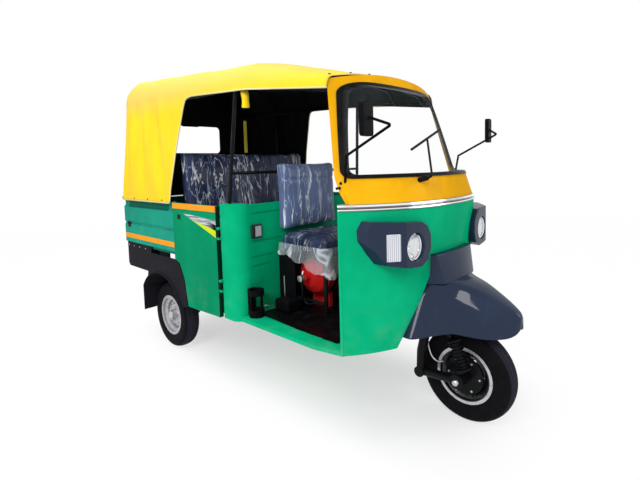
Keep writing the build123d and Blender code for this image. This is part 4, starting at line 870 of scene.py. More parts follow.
def hood_back(contour, rows, foot_z, turn):
    """The hood's back, as a grid from its foot up to the roof's tail edge.

    A point is (1 - t) foot + t roof; one near the window's outline snaps to it, one within r of the outer edge
    turns forward through a quarter circle, and the rest ripples slightly.
    """
    t = np.linspace(0, 1, rows + 1)[:, None, None]
    upper = contour[rows:-rows]
    spread = upper[:, :1] / upper[-1, 0]
    foot = np.concatenate([spread * contour[-1, 0], np.full_like(spread, foot_z)], -1)
    back = (1 - t) * foot[None] + t * upper[None]
    distance, out = window_distance(back[..., 0], back[..., 1])
    snap = (np.abs(distance) < SNAP_REACH)[..., None]
    back = back - snap * distance[..., None] * out
    edge_line = hood_roof(np.array([TAIL_X]))[:, 0]
    wall_line = hood_walls(np.array([TAIL_X]), np.array([HEM_Z]))[:, 0]
    outline = np.concatenate([wall_line * (-1, 1), edge_line, wall_line[::-1]])
    gap = np.linalg.norm(back[:, :, None] - outline[None, None], axis=-1).min(-1)
    near = np.clip(turn - gap, 0, turn)
    x = TAIL_X + turn - np.sqrt(turn ** 2 - near ** 2)
    ripple = np.sin(back[..., 0] * 21 + np.sin(back[..., 1] * 6)) * ease(gap, 0.03, 0.12) * ease(distance, 0.03, 0.12)
    x = x + RIPPLE * ripple * (back[..., 1] < 1.9) + RIPPLE * (gap > 0.03)
    return np.concatenate([x[..., None], back], -1)


def hood_sheet(fold, sag):
    """The whole hood as one sheet, with its lower edge and its walls and roof: both grids share their tail edge."""
    shell, rows, foot_z = hood_sides(fold, sag, TAIL_TURN)
    rear = hood_back(shell[:, 0, 1:], rows, foot_z, TAIL_TURN)
    rear[:, 0], rear[:, -1] = shell[:rows + 1, 0], shell[::-1][:rows + 1, 0]
    rear[-1] = shell[rows:-rows, 0]
    back_quads = grid_faces(*rear.shape[:2])
    middle = rear.reshape(-1, 3)[back_quads].mean(1)
    solid = window_distance(middle[:, 1], middle[:, 2])[0] > -0.001
    form = Form(np.vstack([shell.reshape(-1, 3), rear.reshape(-1, 3)]),
                [grid_faces(*shell.shape[:2]), back_quads[solid][:, ::-1] + shell.shape[0] * shell.shape[1]])
    hem = np.vstack([shell[-1, ::-1], rear[0, ::-1], shell[0]])
    return form, hem, shell


def area_of(form):
    """Area of a form's quads."""
    quads = np.vstack(form.faces)
    a, b, c, d = (form.points[quads[:, k]] for k in range(4))
    return float(np.linalg.norm(np.cross(c - a, d - b), axis=1).sum() / 2)


def window_frame(steps=160):
    """Flat rubber section carried round the rear window: x and the distance from the outline at each corner."""
    turn = round_angles(steps)
    out = np.stack([np.cos(turn), np.sin(turn)], -1)
    middle, half_y, half_z, radius = WINDOW
    outline = np.sign(out) * (half_y - radius, half_z - radius) + radius * out
    section = [(-0.0012, -0.004), (-0.0022, 0.004), (-0.0022, 0.020), (-0.0008, 0.024),
               (0.0050, 0.024), (0.0064, 0.020), (0.0064, 0.004), (0.0054, -0.004)]
    rings = [np.concatenate([np.full((steps, 1), TAIL_X + x), outline + out * grown + (0, middle)], -1)
             for x, grown in section]
    return sheet_of(np.stack(rings), True, True)


def hood_studs():
    """Fasteners: four on each side's hem, nine along the tail and seven over the cab."""
    marks = np.linspace(-1.38, -0.72, 4)
    wall = hood_walls(marks, np.full(4, HEM_Z + STUD_OVER_HEM))[0]
    places = np.concatenate([marks[:, None], wall + (0.0015, 0)], -1)
    sides = stud_head(0.0058, 0.0035).at(places, (0.0, 1.0, 0.09)).both_sides()
    across = np.linspace(-0.54, 0.54, 9)
    places = np.stack(np.broadcast_arrays(TAIL_X + 0.0015, across, HEM_Z + STUD_OVER_HEM), -1)
    tail = stud_head(0.0062, 0.0035).at(places, (-1.0, 0.0, 0.0))
    left = np.array([(0.690, 0.448, 1.7335), (0.700, 0.30, 1.7565), (0.704, 0.15, 1.7690), (0.706, 0.0, 1.7730)])
    over = np.vstack([left, left[:3] * (1, -1, 1)])
    return sides + tail + stud_head(0.0070, 0.0045).at(over, (0.1, 0.0, 1.0))


def build_hood(sizes):
    """Canvas hood, its piping, its window binding and the fasteners along its hem."""
    form, hem, shell = hood_sheet(sizes.fold, sizes.sag)
    mesh = merged(mesh_from("hood_canvas", form), WELD)
    canvas = keep("hood_canvas", mesh, "yellow_canvas black_lining pale_hem", "body", ("canvas_hood",), 60)
    cloth = canvas.modifiers.new("Cloth thickness", "SOLIDIFY")
    cloth.thickness, cloth.offset = sizes.canvas, -1.0
    cloth.material_offset, cloth.material_offset_rim = 1, 2
    cloth.use_quality_normals = True
    area = area_of(form)
    piping = add("hood_piping", tube(evenly(hem, 0.018), 0.0042, CAB_MIDDLE, 8), "pale_hem", "body")
    binding = add("window_binding", window_frame(), "black_lining", "body", join=1e-6)
    buttons = add("hood_studs", hood_studs(), "black_plastic", "body")

    roll = [(0.118, -0.530, 1.716), (0.130, -0.534, 1.690), (0.134, -0.536, 1.650), (0.132, -0.535, 1.628)]
    swell = 0.021 + 0.0012 * np.sin(np.linspace(0, 9, 24))
    add("rolled_flap", bent_tube(roll, 24, swell, CAB_MIDDLE, 18), "yellow_canvas", "body")
    strip = rounded_box((0.0016, 0.010, 0.088), 0.0014, 8, (0.127, -0.5405, 1.467))
    # The strap takes the canvas painted in shade.
    add("flap_strap", strip, "shaded_strap", "body")


# --- Seats ---
AXES = {"X": 0, "Z": 2}


def cushion_form(low, high, crown, pinch, face, count=41):
    """Crowned cushion between two corners.

    A rounded box swells along its face by c (1 - a^4)(1 - b^4), less on its underside, and its sides pull in between
    their corners by p (1 - a^2).
    """
    low, high = np.asarray(low), np.asarray(high)
    half = (high - low) / 2
    form = rounded_box(half, float(min(half)) * 0.62, count)
    p = form.points
    a = p / half
    axis = AXES[face]
    first, second = [k for k in range(3) if k != axis]
    bulge = (1 - a[:, first] ** 4).clip(0) * (1 - a[:, second] ** 4).clip(0)
    p[:, axis] += crown * bulge * np.where(a[:, axis] > 0, a[:, axis], a[:, axis] * 0.15)
    p[:, first] -= pinch * a[:, first] * (1 - a[:, second] ** 2).clip(0)
    p[:, second] -= pinch * a[:, second] * (1 - a[:, first] ** 2).clip(0)
    form.points = p + (low + high) / 2
    return form


SWELL_FRAMES, SWELL_PRESSURE, SKIN_MASS, CLOTH_QUALITY = 20, 4.0, 0.3, 5
VOXEL = {"X": 0.0095, "Z": 0.0085}


def inflate(piece, cap, voxel):
    """Blows a closed mesh up as cloth and keeps each point within a cap of where it began."""
    scene = bpy.context.scene
    remesh = piece.modifiers.new("Even mesh", "REMESH")
    remesh.mode = "VOXEL"
    remesh.voxel_size = voxel
    settle(piece)
    before = points_of(piece.data)
    cloth = piece.modifiers.new("Cloth", "CLOTH")
    cloth.settings.quality = CLOTH_QUALITY
    cloth.settings.mass = SKIN_MASS
    cloth.settings.use_pressure = True
    cloth.settings.uniform_pressure_force = SWELL_PRESSURE
    cloth.settings.effector_weights.gravity = 0.0
    cloth.point_cache.frame_start, cloth.point_cache.frame_end = 1, SWELL_FRAMES
    for step in range(1, SWELL_FRAMES + 1):
        scene.frame_set(step)
    settle(piece)
    scene.frame_set(1)
    travel = points_of(piece.data) - before
    length = np.linalg.norm(travel, axis=1, keepdims=True)
    move_points(piece.data, before + travel * np.minimum(1, cap / np.maximum(length, 1e-9)))


def points_of(mesh):
    """A mesh's points as an array."""
    flat = np.empty(len(mesh.vertices) * 3)
    mesh.vertices.foreach_get("co", flat)
    return flat.reshape(-1, 3)


def move_points(mesh, points):
    """Puts a mesh's points at new places."""
    mesh.vertices.foreach_set("co", points.reshape(-1))
    mesh.update()


def settle(piece):
    """Applies every modifier of a piece to its mesh."""
    done = bpy.data.meshes.new_from_object(piece.evaluated_get(bpy.context.evaluated_depsgraph_get()))
    piece.modifiers.clear()
    old, piece.data = piece.data, done
    bpy.data.meshes.remove(old)


SEAM_HALF_WIDTH, SEAM_DEPTH = 0.006, 0.008


def press_seams(mesh, low, high, face, channels):
    """Sewn channels: each point near a line across the face sinks by depth exp(-(distance / 6 mm)^2)."""
    p = points_of(mesh)
    axis = AXES[face]
    top = ease(p[:, axis], (low[axis] + high[axis]) / 2, high[axis] - 0.25 * (high[axis] - low[axis]))
    sink = np.zeros(len(p))
    for across, place in channels:
        sink = np.maximum(sink, np.exp(-((p[:, across] - place) / SEAM_HALF_WIDTH) ** 2))
    p[:, axis] -= SEAM_DEPTH * sink * top
    move_points(mesh, p)


def ruffle(mesh, low, high, lean):
    """Leans a seat's points back with height and lets its skin wander by up to 1.2 mm: a product of sines."""
    p = points_of(mesh)
    p[:, 0] += lean * (p[:, 2] - low[2]) / (high[2] - low[2])
    wave = np.sin(p[:, 1] * 61 + 3 * np.sin(p[:, 2] * 17)) * np.sin(p[:, 2] * 37 + p[:, 0] * 29 + p[:, 1] * 11)
    p += unit(p - p.mean(0)) * (0.0012 * wave)[:, None]
    move_points(mesh, p)


SEATS = {
    # piece: node, corners, face, crown, pinch, lean, and the axis and place of each sewn channel
    "driver_cushion": ("driver_seat_cushion", (0.141, -0.331, 0.789), (0.526, 0.141, 0.889), "Z", 0.008, 0.004, 0.0,
                       [(1, -0.250), (1, 0.060)]),
    "driver_back": ("driver_seat_back", (0.129, -0.331, 0.911), (0.195, 0.141, 1.321), "X", 0.012, 0.003, -0.012,
                    [(2, 1.215)]),
    "bench_cushion": ("passenger_seat_cushion", (-0.569, -0.556, 0.645), (-0.194, 0.556, 0.754), "Z", 0.008, 0.004, 0.0,
                      [(1, -0.185), (1, 0.185)]),
    "bench_back": ("passenger_seat_back", (-0.563, -0.556, 0.770), (-0.497, 0.556, 1.408), "X", 0.008, 0.003, -0.068,
                   [(1, -0.185), (1, 0.185)]),
}


def build_seats(sizes):
    """Four filled cushions with sewn channels."""
    scene = bpy.context.scene
    scene.frame_start, scene.frame_end = 1, SWELL_FRAMES
    for name, (node, low, high, face, crown, pinch, lean, channels) in SEATS.items():
        mesh = merged(mesh_from(name, cushion_form(low, high, crown, pinch, face)), 1e-4)
        vinyl = "driver_vinyl" if name == "driver_back" else "seat_vinyl"
        piece = keep(name, mesh, vinyl, "body", (node,), 70)
        inflate(piece, sizes.swell, VOXEL[face])
        dress(piece.data, vinyl)
        press_seams(piece.data, low, high, face, channels)
        ruffle(piece.data, low, high, lean)
        shade_smooth(piece.data, 80)
        fine = piece.modifiers.new("Smooth", "SUBSURF")
        fine.levels = fine.render_levels = 1


# --- Wheels ---
# Half of the tyre's outline from bead to crown, as radius and half width, and the inside of its bead.
TYRE_LINE = np.array([
    (0.1285, 0.0425), (0.136, 0.0470), (0.150, 0.0525), (0.164, 0.0556), (0.178, 0.0568), (0.192, 0.0568),
    (0.204, 0.0558), (0.214, 0.0530), (0.2215, 0.0484), (0.2270, 0.0420), (0.2312, 0.0330), (0.2340, 0.0220),
    (0.2354, 0.0110), (0.2360, 0.0),
])
TYRE_BEAD = np.array([(0.1290, -0.0405), (0.1330, -0.020), (0.1330, 0.020), (0.1290, 0.0405)])
TREAD_RINGS, RING_HALF_WIDTH = (0.0085, 0.0270), 0.0022
BLOCKS_ROUND = 36
TYRE_STEPS = 288


def tyre_form(depth):
    """Tyre about the Y axis: a smooth profile turned through a circle, less the tread.

    Grooves are cut along four rings, and shallow ones where |cos| of a place round the tyre, set back with the
    distance from the middle, passes a limit. Ends of the profile turn in to the bead.
    """
    half = smooth_path(TYRE_LINE, 46)
    outline = np.vstack([half, (half * (1, -1))[::-1][1:], TYRE_BEAD])
    angle = round_angles(TYRE_STEPS)[:, None]
    r, w = outline[:, 0][None], outline[:, 1][None]
    out = np.abs(w)
    crown = ease(r, 0.2180, 0.2235)
    rings = np.maximum.reduce([np.exp(-((out - place) / RING_HALF_WIDTH) ** 4) for place in TREAD_RINGS])
    slots = ease(np.abs(np.cos(angle * BLOCKS_ROUND + out * 95)), 0.95, 0.99) * ease(out, 0.0350, 0.0375) * 0.5
    blocks = ease(np.abs(np.cos(angle * BLOCKS_ROUND + w * 120)), 0.95, 0.99) * (1 - ease(out, 0.0050, 0.0070)) * 0.4
    cut = np.maximum.reduce([rings + 0 * angle, slots, blocks]) * crown * depth
    lip = 0.0007 * np.exp(-((r - 0.158) / 0.0016) ** 2) + 0.0009 * np.exp(-((r - 0.205) / 0.0018) ** 2)
    r = r - cut
    w = w + np.sign(w) * lip
    points = np.stack([r * np.sin(angle), w + 0 * angle, r * np.cos(angle)], -1)
    return sheet_of(points, True, True)


def bolt_circle(head, radius, count, y, start=0.0):
    """Heads in a circle about the Y axis, pointing outward, at a height y."""
    angle = round_angles(count) + start
    places = np.stack([radius * np.cos(angle), np.full(count, y), radius * np.sin(angle)], -1)
    return head.at(places, (0.0, math.copysign(1.0, y), 0.0))


WHEELS = {
    # wheel: axle, tyre's finish, rim's finish, outward side, hub cap's distance from the wheel's middle
    "front": ((FRONT_AXLE_X, 0.0, TYRE_R), "front_tyre_rubber", "front_rim_paint", -1, 0.0255),
    "rear_left": ((REAR_AXLE_X, WHEEL_Y, TYRE_R), "rear_tyre_rubber", "silver_wheel_paint", 1, 0.0385),
    "rear_right": ((REAR_AXLE_X, -WHEEL_Y, TYRE_R), "rear_tyre_rubber", "silver_wheel_paint", -1, 0.0385),
}
HUB_CAP = [(0.031, 0), (0.031, 0.006), (0.027, 0.017), (0.019, 0.021), (0.006, 0.0225)]
VALVE_LINE = np.array([(0.1165, 0.020, 0.030), (0.1120, 0.030, 0.029), (0.1070, 0.041, 0.0275)])
VALVE_RADII = np.where(np.arange(12) < 8, 0.0042, 0.0034)
# Circle, face and turn of the wheel nuts, circle and face of the brake plate's bolts, and face of the axle's nut.
NUT_RING, NUT_FACE, NUT_TURN, DRUM_RING, DRUM_FACE, AXLE_FACE = 0.061, 0.0125, 0.3, 0.080, -0.046, -0.1365
BRAKE_PIPE = [(0.990, -0.092, 0.450), (0.997, -0.092, 0.420), (1.008, -0.090, 0.356), (1.025, -0.088, 0.307),
              (1.053, -0.086, 0.286), (1.086, -0.082, 0.292)]


def build_wheels(sizes):
    """Tyres with their tread, finished rims, nuts, hub caps and valves."""
    tread = tyre_form(sizes.tread)
    hub = lathe(HUB_CAP, 40)
    nut = prism_nut(0.0105, 0.013, 0.002)
    for name, (centre, rubber_name, rim_name, out, cap_y) in WHEELS.items():
        body = name + "_wheel"
        add(name + "_tyre_tread", tread.moved(centre), rubber_name, body, (name + "_tyre",), 40, 1e-6)
        refined(name + "_rim", rim_name, 0.0010)
        nuts = bolt_circle(nut, NUT_RING, 5, out * NUT_FACE, NUT_TURN)
        cap = hub.at((0, out * cap_y, 0), (0, out, 0))
        valve = bent_tube(VALVE_LINE * (1, out, 1), len(VALVE_RADII), VALVE_RADII, (0, 0, 0))
        add(name + "_wheel_nuts", (nuts + cap).moved(centre), "zinc_plate", body)
        add(name + "_valve", valve.moved(centre), "black_rubber", body)
    centre = WHEELS["front"][0]
    bolts = bolt_circle(prism_nut(0.0062, 0.006, 0.001), DRUM_RING, 6, DRUM_FACE).moved(centre)
    axle = prism_nut(0.0165, 0.016, 0.004).at((0, AXLE_FACE, 0), (0, -1, 0)).moved(centre)
    add("brake_pipe", bent_tube(BRAKE_PIPE, 50, 0.0042, (1.4, 0, 0.5)), "zinc_plate", "steering")
    add("front_hub_bolts", bolts + axle, "zinc_plate", "steering")


# --- Lamps ---
# The left headlamp's middle, and its profiles as radius and depth behind its front.
LAMP = (1.092, 0.352, 0.921)
LAMP_CAN = [(0.058, -0.084), (0.0632, -0.080), (0.0634, -0.012), (0.0632, -0.0065), (0.0585, -0.0055),
            (0.0575, -0.0100), (0.0560, -0.030), (0.030, -0.052), (0.010, -0.056)]
LAMP_RING = [(0.0560, -0.011), (0.0560, -0.0035), (0.0585, -0.0012), (0.0615, -0.0015), (0.0634, -0.0040),
             (0.0634, -0.012)]
BULB = [(0.0085, -0.052), (0.0085, -0.040), (0.0060, -0.036), (0.0064, -0.028), (0.0040, -0.024)]
BOWL_RINGS, FACETS_ROUND = 26, 9


def double_wall(line, wall, steps=96):
    """Turned sheet with a wall behind it: a line of (radius, height) out, and the same line back, moved by the wall."""
    return turning(np.vstack([line, line[::-1] + (0, wall)]), steps)


def build_lamps():
    """Headlamps with bowl, bulb, ring and domed lens; signal and marker lamps with their flutes.

    The bowl's depth is 40 r^2 mm over its radius r from 0 to 1, with ripples of |sin 9a|; the lens is 6.8 r^2 mm.
    """
    part = np.linspace(0.02, 1, BOWL_RINGS)
    facets = double_wall(np.stack([0.0555 * part, -0.052 + 0.040 * part ** 2], -1), -0.0015)
    ripple = 0.0011 * np.abs(np.sin(np.arctan2(facets[..., 1], facets[..., 0]) * FACETS_ROUND))
    facets[..., 2] += ripple * (np.arange(len(facets))[:, None] < BOWL_RINGS)
    part = np.linspace(0, 1, 16)[::-1]
    dome = double_wall(np.stack([0.0562 * part, -0.0005 - 0.0068 * part ** 2], -1), -0.0018)
    pieces = {
        "headlamp_cans": (lathe(LAMP_CAN, 64), "black_plastic", "lens", ("headlamps",)),
        "headlamp_rings": (sheet_of(turning(LAMP_RING, 96), True, True), "bright_metal", "chrome", ()),
        "headlamp_bowls": (sheet_of(facets, False, True) + lathe(BULB, 24), "bright_metal", "lens", ()),
        "headlamp_lenses": (sheet_of(dome, False, True), "lamp_glass", "lens", ()),
    }
    for name, (form, finish, slot, replaces) in pieces.items():
        add(name, form.at(LAMP, (1.0, 0.0, 0.0)).both_sides(), finish, "body", replaces)
    refined("signal_lamps", "signal_lens", 0.004, 3)
    refined("marker_lamps", "marker_lens", 0.003, 3)


# --- Small fittings ---
MIRROR_MIDDLE, MIRROR_TURN, MIRROR_HALF = np.array((1.030, 0.611, 1.480)), math.radians(12), (0.0012, 0.040, 0.065)
COWL_SCREWS = [(0.838, 0.5555, 1.213), (0.824, 0.5655, 1.190), (0.838, 0.5635, 1.192)]
SKIRT_RIVETS = [(x, 0.613, 0.702) for x in (-1.385, -1.29, -1.19, -1.09)]
LATCH_HOOK = [(-1.345, 0.6265, 0.890), (-1.338, 0.6330, 0.884), (-1.326, 0.6330, 0.876), (-1.314, 0.6330, 0.868),
              (-1.308, 0.6265, 0.860)]
DOOR_PULL = [(-0.516, 0.6385, 0.985), (-0.510, 0.6425, 0.985), (-0.490, 0.6425, 0.985), (-0.484, 0.6385, 0.985)]


def build_mirrors():
    """Mirror shells and their bright faces, which narrow toward top and bottom as 1 - 0.1 |z|^6."""
    refined("mirrors", "black_plastic", 0.004, 3)
    face = rounded_box(MIRROR_HALF, 0.0011, 10)
    squeeze = 1 - 0.10 * (np.abs(face.points[:, 2]) / MIRROR_HALF[2]) ** 6
    face.points[:, 1] *= squeeze
    c, s = math.cos(MIRROR_TURN), math.sin(MIRROR_TURN)
    face = face.moved((-0.0118, 0, 0)).turned([(c, -s, 0), (s, c, 0), (0, 0, 1)])
    both = face.moved(MIRROR_MIDDLE) + face.moved(MIRROR_MIDDLE * (1, -1, 1))
    add("mirror_faces", both, "mirror_face", "body")


def build_fixings():
    """Skirt rivets, cowl screws, the bed's latches and the doors' catches."""
    rivets = stud_head(0.0045, 0.0025).at(SKIRT_RIVETS, (0.0, 1.0, 0.0)).both_sides()
    add("skirt_rivets", rivets, "zinc_plate", "body")
    heads = stud_head(0.0072, 0.0045).at(COWL_SCREWS, (0.15, 1.0, 0.28)).both_sides()
    add("cowl_screws", heads, "black_plastic", "body")
    slot = rounded_box((0.026, 0.0016, 0.022), 0.0015, 8, (-1.3265, 0.6252, 0.875))
    hook = bent_tube(LATCH_HOOK, 20, 0.0035, (-1.3265, 0.5, 0.875))
    add("bed_latches", (slot + hook).both_sides(), "black_steel", "body")
    plate = rounded_box((0.020, 0.0014, 0.016), 0.0013, 8, (-0.500, 0.6380, 0.985))
    catch = plate + bent_tube(DOOR_PULL, 16, 0.0028, (-0.5, 0.5, 0.985))
    for body, form in (("left_door", catch), ("right_door", catch.mirrored())):
        add(body + "_catch", form, "black_steel", body)


CYLINDER_MIDDLE, BAND_OUT = np.array((0.338, -0.075, 0.650)), 0.095
BAND_SECTION = np.array([(0.1184, -0.016), (0.1200, -0.0145), (0.1200, 0.0145), (0.1184, 0.016), (0.1170, 0.014),
                         (0.1170, -0.014)])
VALVE_STEM = [(0.016, 0), (0.016, 0.014), (0.012, 0.016), (0.012, 0.022), (0.019, 0.024), (0.019, 0.034),
              (0.010, 0.036)]
SPOUT = [(0.338, -0.333, 0.650), (0.338, -0.333, 0.672), (0.338, -0.326, 0.690)]


def build_cylinder():
    """Fuel cylinder with its bands, a section turned about the Y axis, and its valve."""
    refined("gas_cylinder", "red_enamel", 0.003, 3, 20)
    angle = round_angles(96)
    r, w = BAND_SECTION[:, :1], BAND_SECTION[:, 1:]
    band = sheet_of(np.stack([r * np.sin(angle), w + 0 * r * angle, r * np.cos(angle)], -1), True, True)
    both = band.moved(CYLINDER_MIDDLE + (0, -BAND_OUT, 0)) + band.moved(CYLINDER_MIDDLE + (0, BAND_OUT, 0))
    add("cylinder_bands", both, "black_steel", "body")
    stem = lathe(VALVE_STEM, 20).at((0.338, -0.3245, 0.650), (0, -1, 0))
    add("cylinder_valve", stem + bent_tube(SPOUT, 14, 0.007, (0.3, -0.3, 0.6), 12), "zinc_plate", "body")


# Floor mat: its ends, the near edge at places along it, the far edge, the heights of rib and underside, rib pitch.
MAT_X, MAT_FAR_Y, MAT_TOP_Z, MAT_LOW_Z, RIB_HEIGHT, RIB_PITCH = (0.165, 0.780), 0.545, 0.4540, 0.4521, 0.0016, 0.0114
MAT_NEAR = ([0.165, 0.30, 0.45, 0.60, 0.780], [-0.520, -0.525, -0.535, -0.545, -0.540])
SEAT_PIPE_UPPER = [(0.338, -0.338, 0.668), (0.350, -0.350, 0.640), (0.352, -0.350, 0.560), (0.330, -0.352, 0.500),
                   (0.300, -0.345, 0.470)]
SEAT_PIPE_LOWER = [(0.330, -0.335, 0.560), (0.380, -0.345, 0.512), (0.440, -0.330, 0.520), (0.500, -0.300, 0.500),
                   (0.500, -0.280, 0.460)]
LEVER = [(0.150, -0.470, 0.462), (0.152, -0.466, 0.484), (0.166, -0.440, 0.478), (0.176, -0.395, 0.464),
         (0.186, -0.352, 0.470), (0.190, -0.344, 0.520), (0.188, -0.343, 0.640)]
# Film on the driver's cushion: the edge it hangs from, the edge's height, and the flat sheet's drop and fullness.
FILM_EDGE = np.array([(0.150, -0.336), (0.500, -0.338), (0.528, -0.318), (0.530, 0.0), (0.530, 0.130)])
FILM_Z, FILM_DROP, FILM_FULLNESS = 0.842, 0.19, 1.25


def floor_mat():
    """Ribbed mat: a grid whose height is a square wave along it, closed by a flat underside and a rim."""
    x = np.linspace(*MAT_X, 120)
    near = np.interp(x, *MAT_NEAR)
    height = MAT_TOP_Z + RIB_HEIGHT * (np.sin(x / RIB_PITCH * 2 * np.pi) > 0)
    across = near[:, None] + (MAT_FAR_Y - near[:, None]) * np.linspace(0, 1, 14)[None]
    top = np.stack(np.broadcast_arrays(x[:, None], across, height[:, None]), -1)
    under = top * (1, 1, 0) + (0, 0, MAT_LOW_Z)
    rim = np.stack([edge_of(grid.swapaxes(0, 1)) for grid in (under, top)])
    return sheet_of(top) + sheet_of(under[::-1]) + sheet_of(rim, False, True)


def hung_film():
    """Loose film along an edge: each point is edge + outward w, dropped by d t, where w and d are waves along it."""
    edge = evenly(FILM_EDGE, 0.010)
    s = np.linspace(0, 1, len(edge))[None]
    t = np.linspace(0, 1, 26)[:, None]
    drop = 0.055 + 0.115 * (1 - np.abs(s - 0.46) / 0.46).clip(0) ** 1.3 + 0.012 * np.sin(s * 41)
    ends = unit(np.gradient(edge, axis=0))
    outward = np.stack([ends[:, 1], -ends[:, 0]], -1)
    swing = 0.006 + 0.010 * t * np.sin(s * 52 + 1.7 * np.sin(s * 17)) + 0.014 * t ** 2
    place = edge[None] + outward[None] * swing[..., None]
    height = np.broadcast_to(FILM_Z - drop * t, swing.shape)[..., None]
    return sheet_of(np.concatenate([place, height], -1)), float(np.linalg.norm(np.diff(edge, axis=0), axis=1).sum())


def build_cab_inside():
    """Ribbed floor mat, the guard under the driver's seat, its pipes and lever, and the loose film on the cushion."""
    add("floor_mat", floor_mat(), "black_rubber", "body", join=1e-6)
    guard = rounded_box((0.070, 0.0015, 0.150), 0.0014, 8, (0.212, -0.338, 0.618))
    foot = rounded_box((0.060, 0.050, 0.034), 0.012, 14, (0.245, -0.372, 0.489))
    add("seat_side_guard", guard + foot, "black_plastic", "body")
    pipes = bent_tube(SEAT_PIPE_UPPER, 40, 0.006, (0.1, 0, 0.6)) + bent_tube(SEAT_PIPE_LOWER, 40, 0.005, (0.3, 0, 1.6))
    add("seat_pipes", pipes, "black_rubber", "body")
    add("parking_lever", bent_tube(LEVER, 60, 0.0035, (0.6, 0, 0.5)), "zinc_plate", "body")
    film, length = hung_film()
    piece = add("cushion_film", film, "clear_film", "body", angle=180)
    length * FILM_FULLNESS
    area_of(film)


# --- Panels ---
# Each panel's finish and how far its edges are rounded.
PANELS = {
    "front_cowl": ("green_enamel", 0.0030), "upper_cowl": ("yellow_enamel", 0.0030),
    "corner_pillars": ("green_enamel", 0.0030), "partition": ("green_enamel", 0.0020),
    "floor_pan": ("green_enamel", 0.0030), "bed_sides": ("bed_paint", 0.0025), "tailgate": ("bed_paint", 0.0030),
    "left_door": ("door_paint", 0.0025), "right_door": ("door_paint", 0.0025),
    "headlamp_bezels": ("slate_plastic", 0.0110), "wheel_arches": ("arch_plastic", 0.0030),
    "rear_skirts": ("arch_plastic", 0.0020), "chrome_strips": ("chrome_trim", 0.0020),
    "windscreen_rubber": ("black_rubber", 0.0040), "dashboard": ("black_plastic", 0.0040),
    "battery_box": ("black_plastic", 0.0040), "bottle_holder": ("black_plastic", 0.0015),
    "wiper": ("black_steel", 0.0010), "driver_seat_frame": ("black_steel", 0.0010),
    "passenger_seat_base": ("black_steel", 0.0020), "pedals": ("black_steel", 0.0010),
    "engine_block": ("engine_metal", 0.0120), "load_deck": ("bed_paint", 0.0020),
    "chassis_frame": ("black_steel", 0.0020), "steering_fork": ("black_steel", 0.0010),
    "leading_link": ("black_steel", 0.0010),
}
STEEL_AS_MADE = ("rear_axle", "rear_springs", "exhaust", "bench_frame", "hood_frame", "hood_posts", "handlebar",
                 "front_spring")


def build_panels():
    """Rounded, smooth-shaded panels in their finishes, and the CAD nodes that keep their meshes."""
    for node, (finish, width) in PANELS.items():
        refined(node, finish, width)
    for node in STEEL_AS_MADE:
        dress(frame["nodes"][node].data, "black_steel")
    dress(frame["nodes"]["windscreen_glass"].data, "windscreen_glass")


# --- Mudguard and nose panel ---
GUARD_SIZES = np.array([
    # x, foot half, foot z, crease half, crease z, top half, top z
    (1.012, 0.344, 0.482, 0.226, 0.690, 0.150, 0.742),
    (1.066, 0.338, 0.482, 0.216, 0.684, 0.152, 0.738),
    (1.120, 0.248, 0.482, 0.186, 0.662, 0.148, 0.724),
    (1.172, 0.168, 0.482, 0.154, 0.636, 0.112, 0.712),
    (1.240, 0.150, 0.482, 0.136, 0.610, 0.088, 0.694),
    (1.300, 0.138, 0.482, 0.118, 0.590, 0.070, 0.668),
    (1.360, 0.108, 0.484, 0.094, 0.570, 0.053, 0.636),
    (1.400, 0.072, 0.489, 0.066, 0.558, 0.038, 0.612),
    (1.425, 0.046, 0.503, 0.042, 0.556, 0.024, 0.594),
    (1.436, 0.022, 0.520, 0.020, 0.556, 0.014, 0.578),
])


def rounded_corners(points, reach, count=7):
    """Corner lines with each corner turned into a curve: q(t) = (1-t)^2 a + 2t(1-t) p + t^2 b, a and b near p.

    Points are (rows, corners, 2); a and b lie a reach along the two edges, at most 0.45 of them.
    """
    before, here, after = points[:, :-2], points[:, 1:-1], points[:, 2:]
    back, on = before - here, after - here
    lengths = [np.maximum(np.linalg.norm(edge, axis=-1, keepdims=True), 1e-9) for edge in (back, on)]
    steps = [np.minimum(reach, 0.45 * length) / length for length in lengths]
    a, b = here + back * steps[0], here + on * steps[1]
    t = np.linspace(0, 1, count)[:, None]
    curve = (1 - t) ** 2 * a[:, :, None] + 2 * t * (1 - t) * here[:, :, None] + t ** 2 * b[:, :, None]
    middle = curve.reshape(len(points), -1, 2)
    return np.concatenate([points[:, :1], middle, points[:, -1:]], axis=1)


def build_mudguard():
    """Beaked mudguard, its sections lofted through smooth sizes, with a wall and a rounded lip."""
    sizes = smooth_path(GUARD_SIZES, 110)
    x, foot, foot_z, crease, crease_z, top, top_z = sizes.T
    crown = top_z + 0.10 * top
    corners = ((foot, foot_z), (foot * 0.998, foot_z + 0.004), (crease, crease_z), (top, top_z), (0 * top, crown))
    half = np.stack([np.stack(corner, -1) for corner in corners], 1)
    whole = np.concatenate([half, (half * (-1, 1))[:, ::-1][:, 1:]], 1)
    curve = rounded_corners(whole, 0.030)
    shell = np.concatenate([np.broadcast_to(x[:, None, None], curve.shape[:2] + (1,)), curve], -1)
    tip = np.broadcast_to(shell[-1].mean(0) + (0.0008, 0, 0), shell[-1:].shape)
    form = sheet_of(np.concatenate([shell, tip]))
    guard = add("front_mudguard_shell", form, "slate_plastic", "body", ("front_mudguard",), 60, WELD)
    wall = guard.modifiers.new("Wall", "SOLIDIFY")
    wall.thickness, wall.offset = 0.004, -1.0
    round_edges(guard, 0.0012, 2, 60)


# The panel over the mudguard: half widths at top and foot, top's height, drop, face's place, lean and bow.
NOSE_HALF, NOSE_TOP_Z, NOSE_DROP, NOSE_X, NOSE_LEAN, NOSE_BOW = (0.186, 0.160), 0.856, 0.142, 1.128, 0.030, 0.020


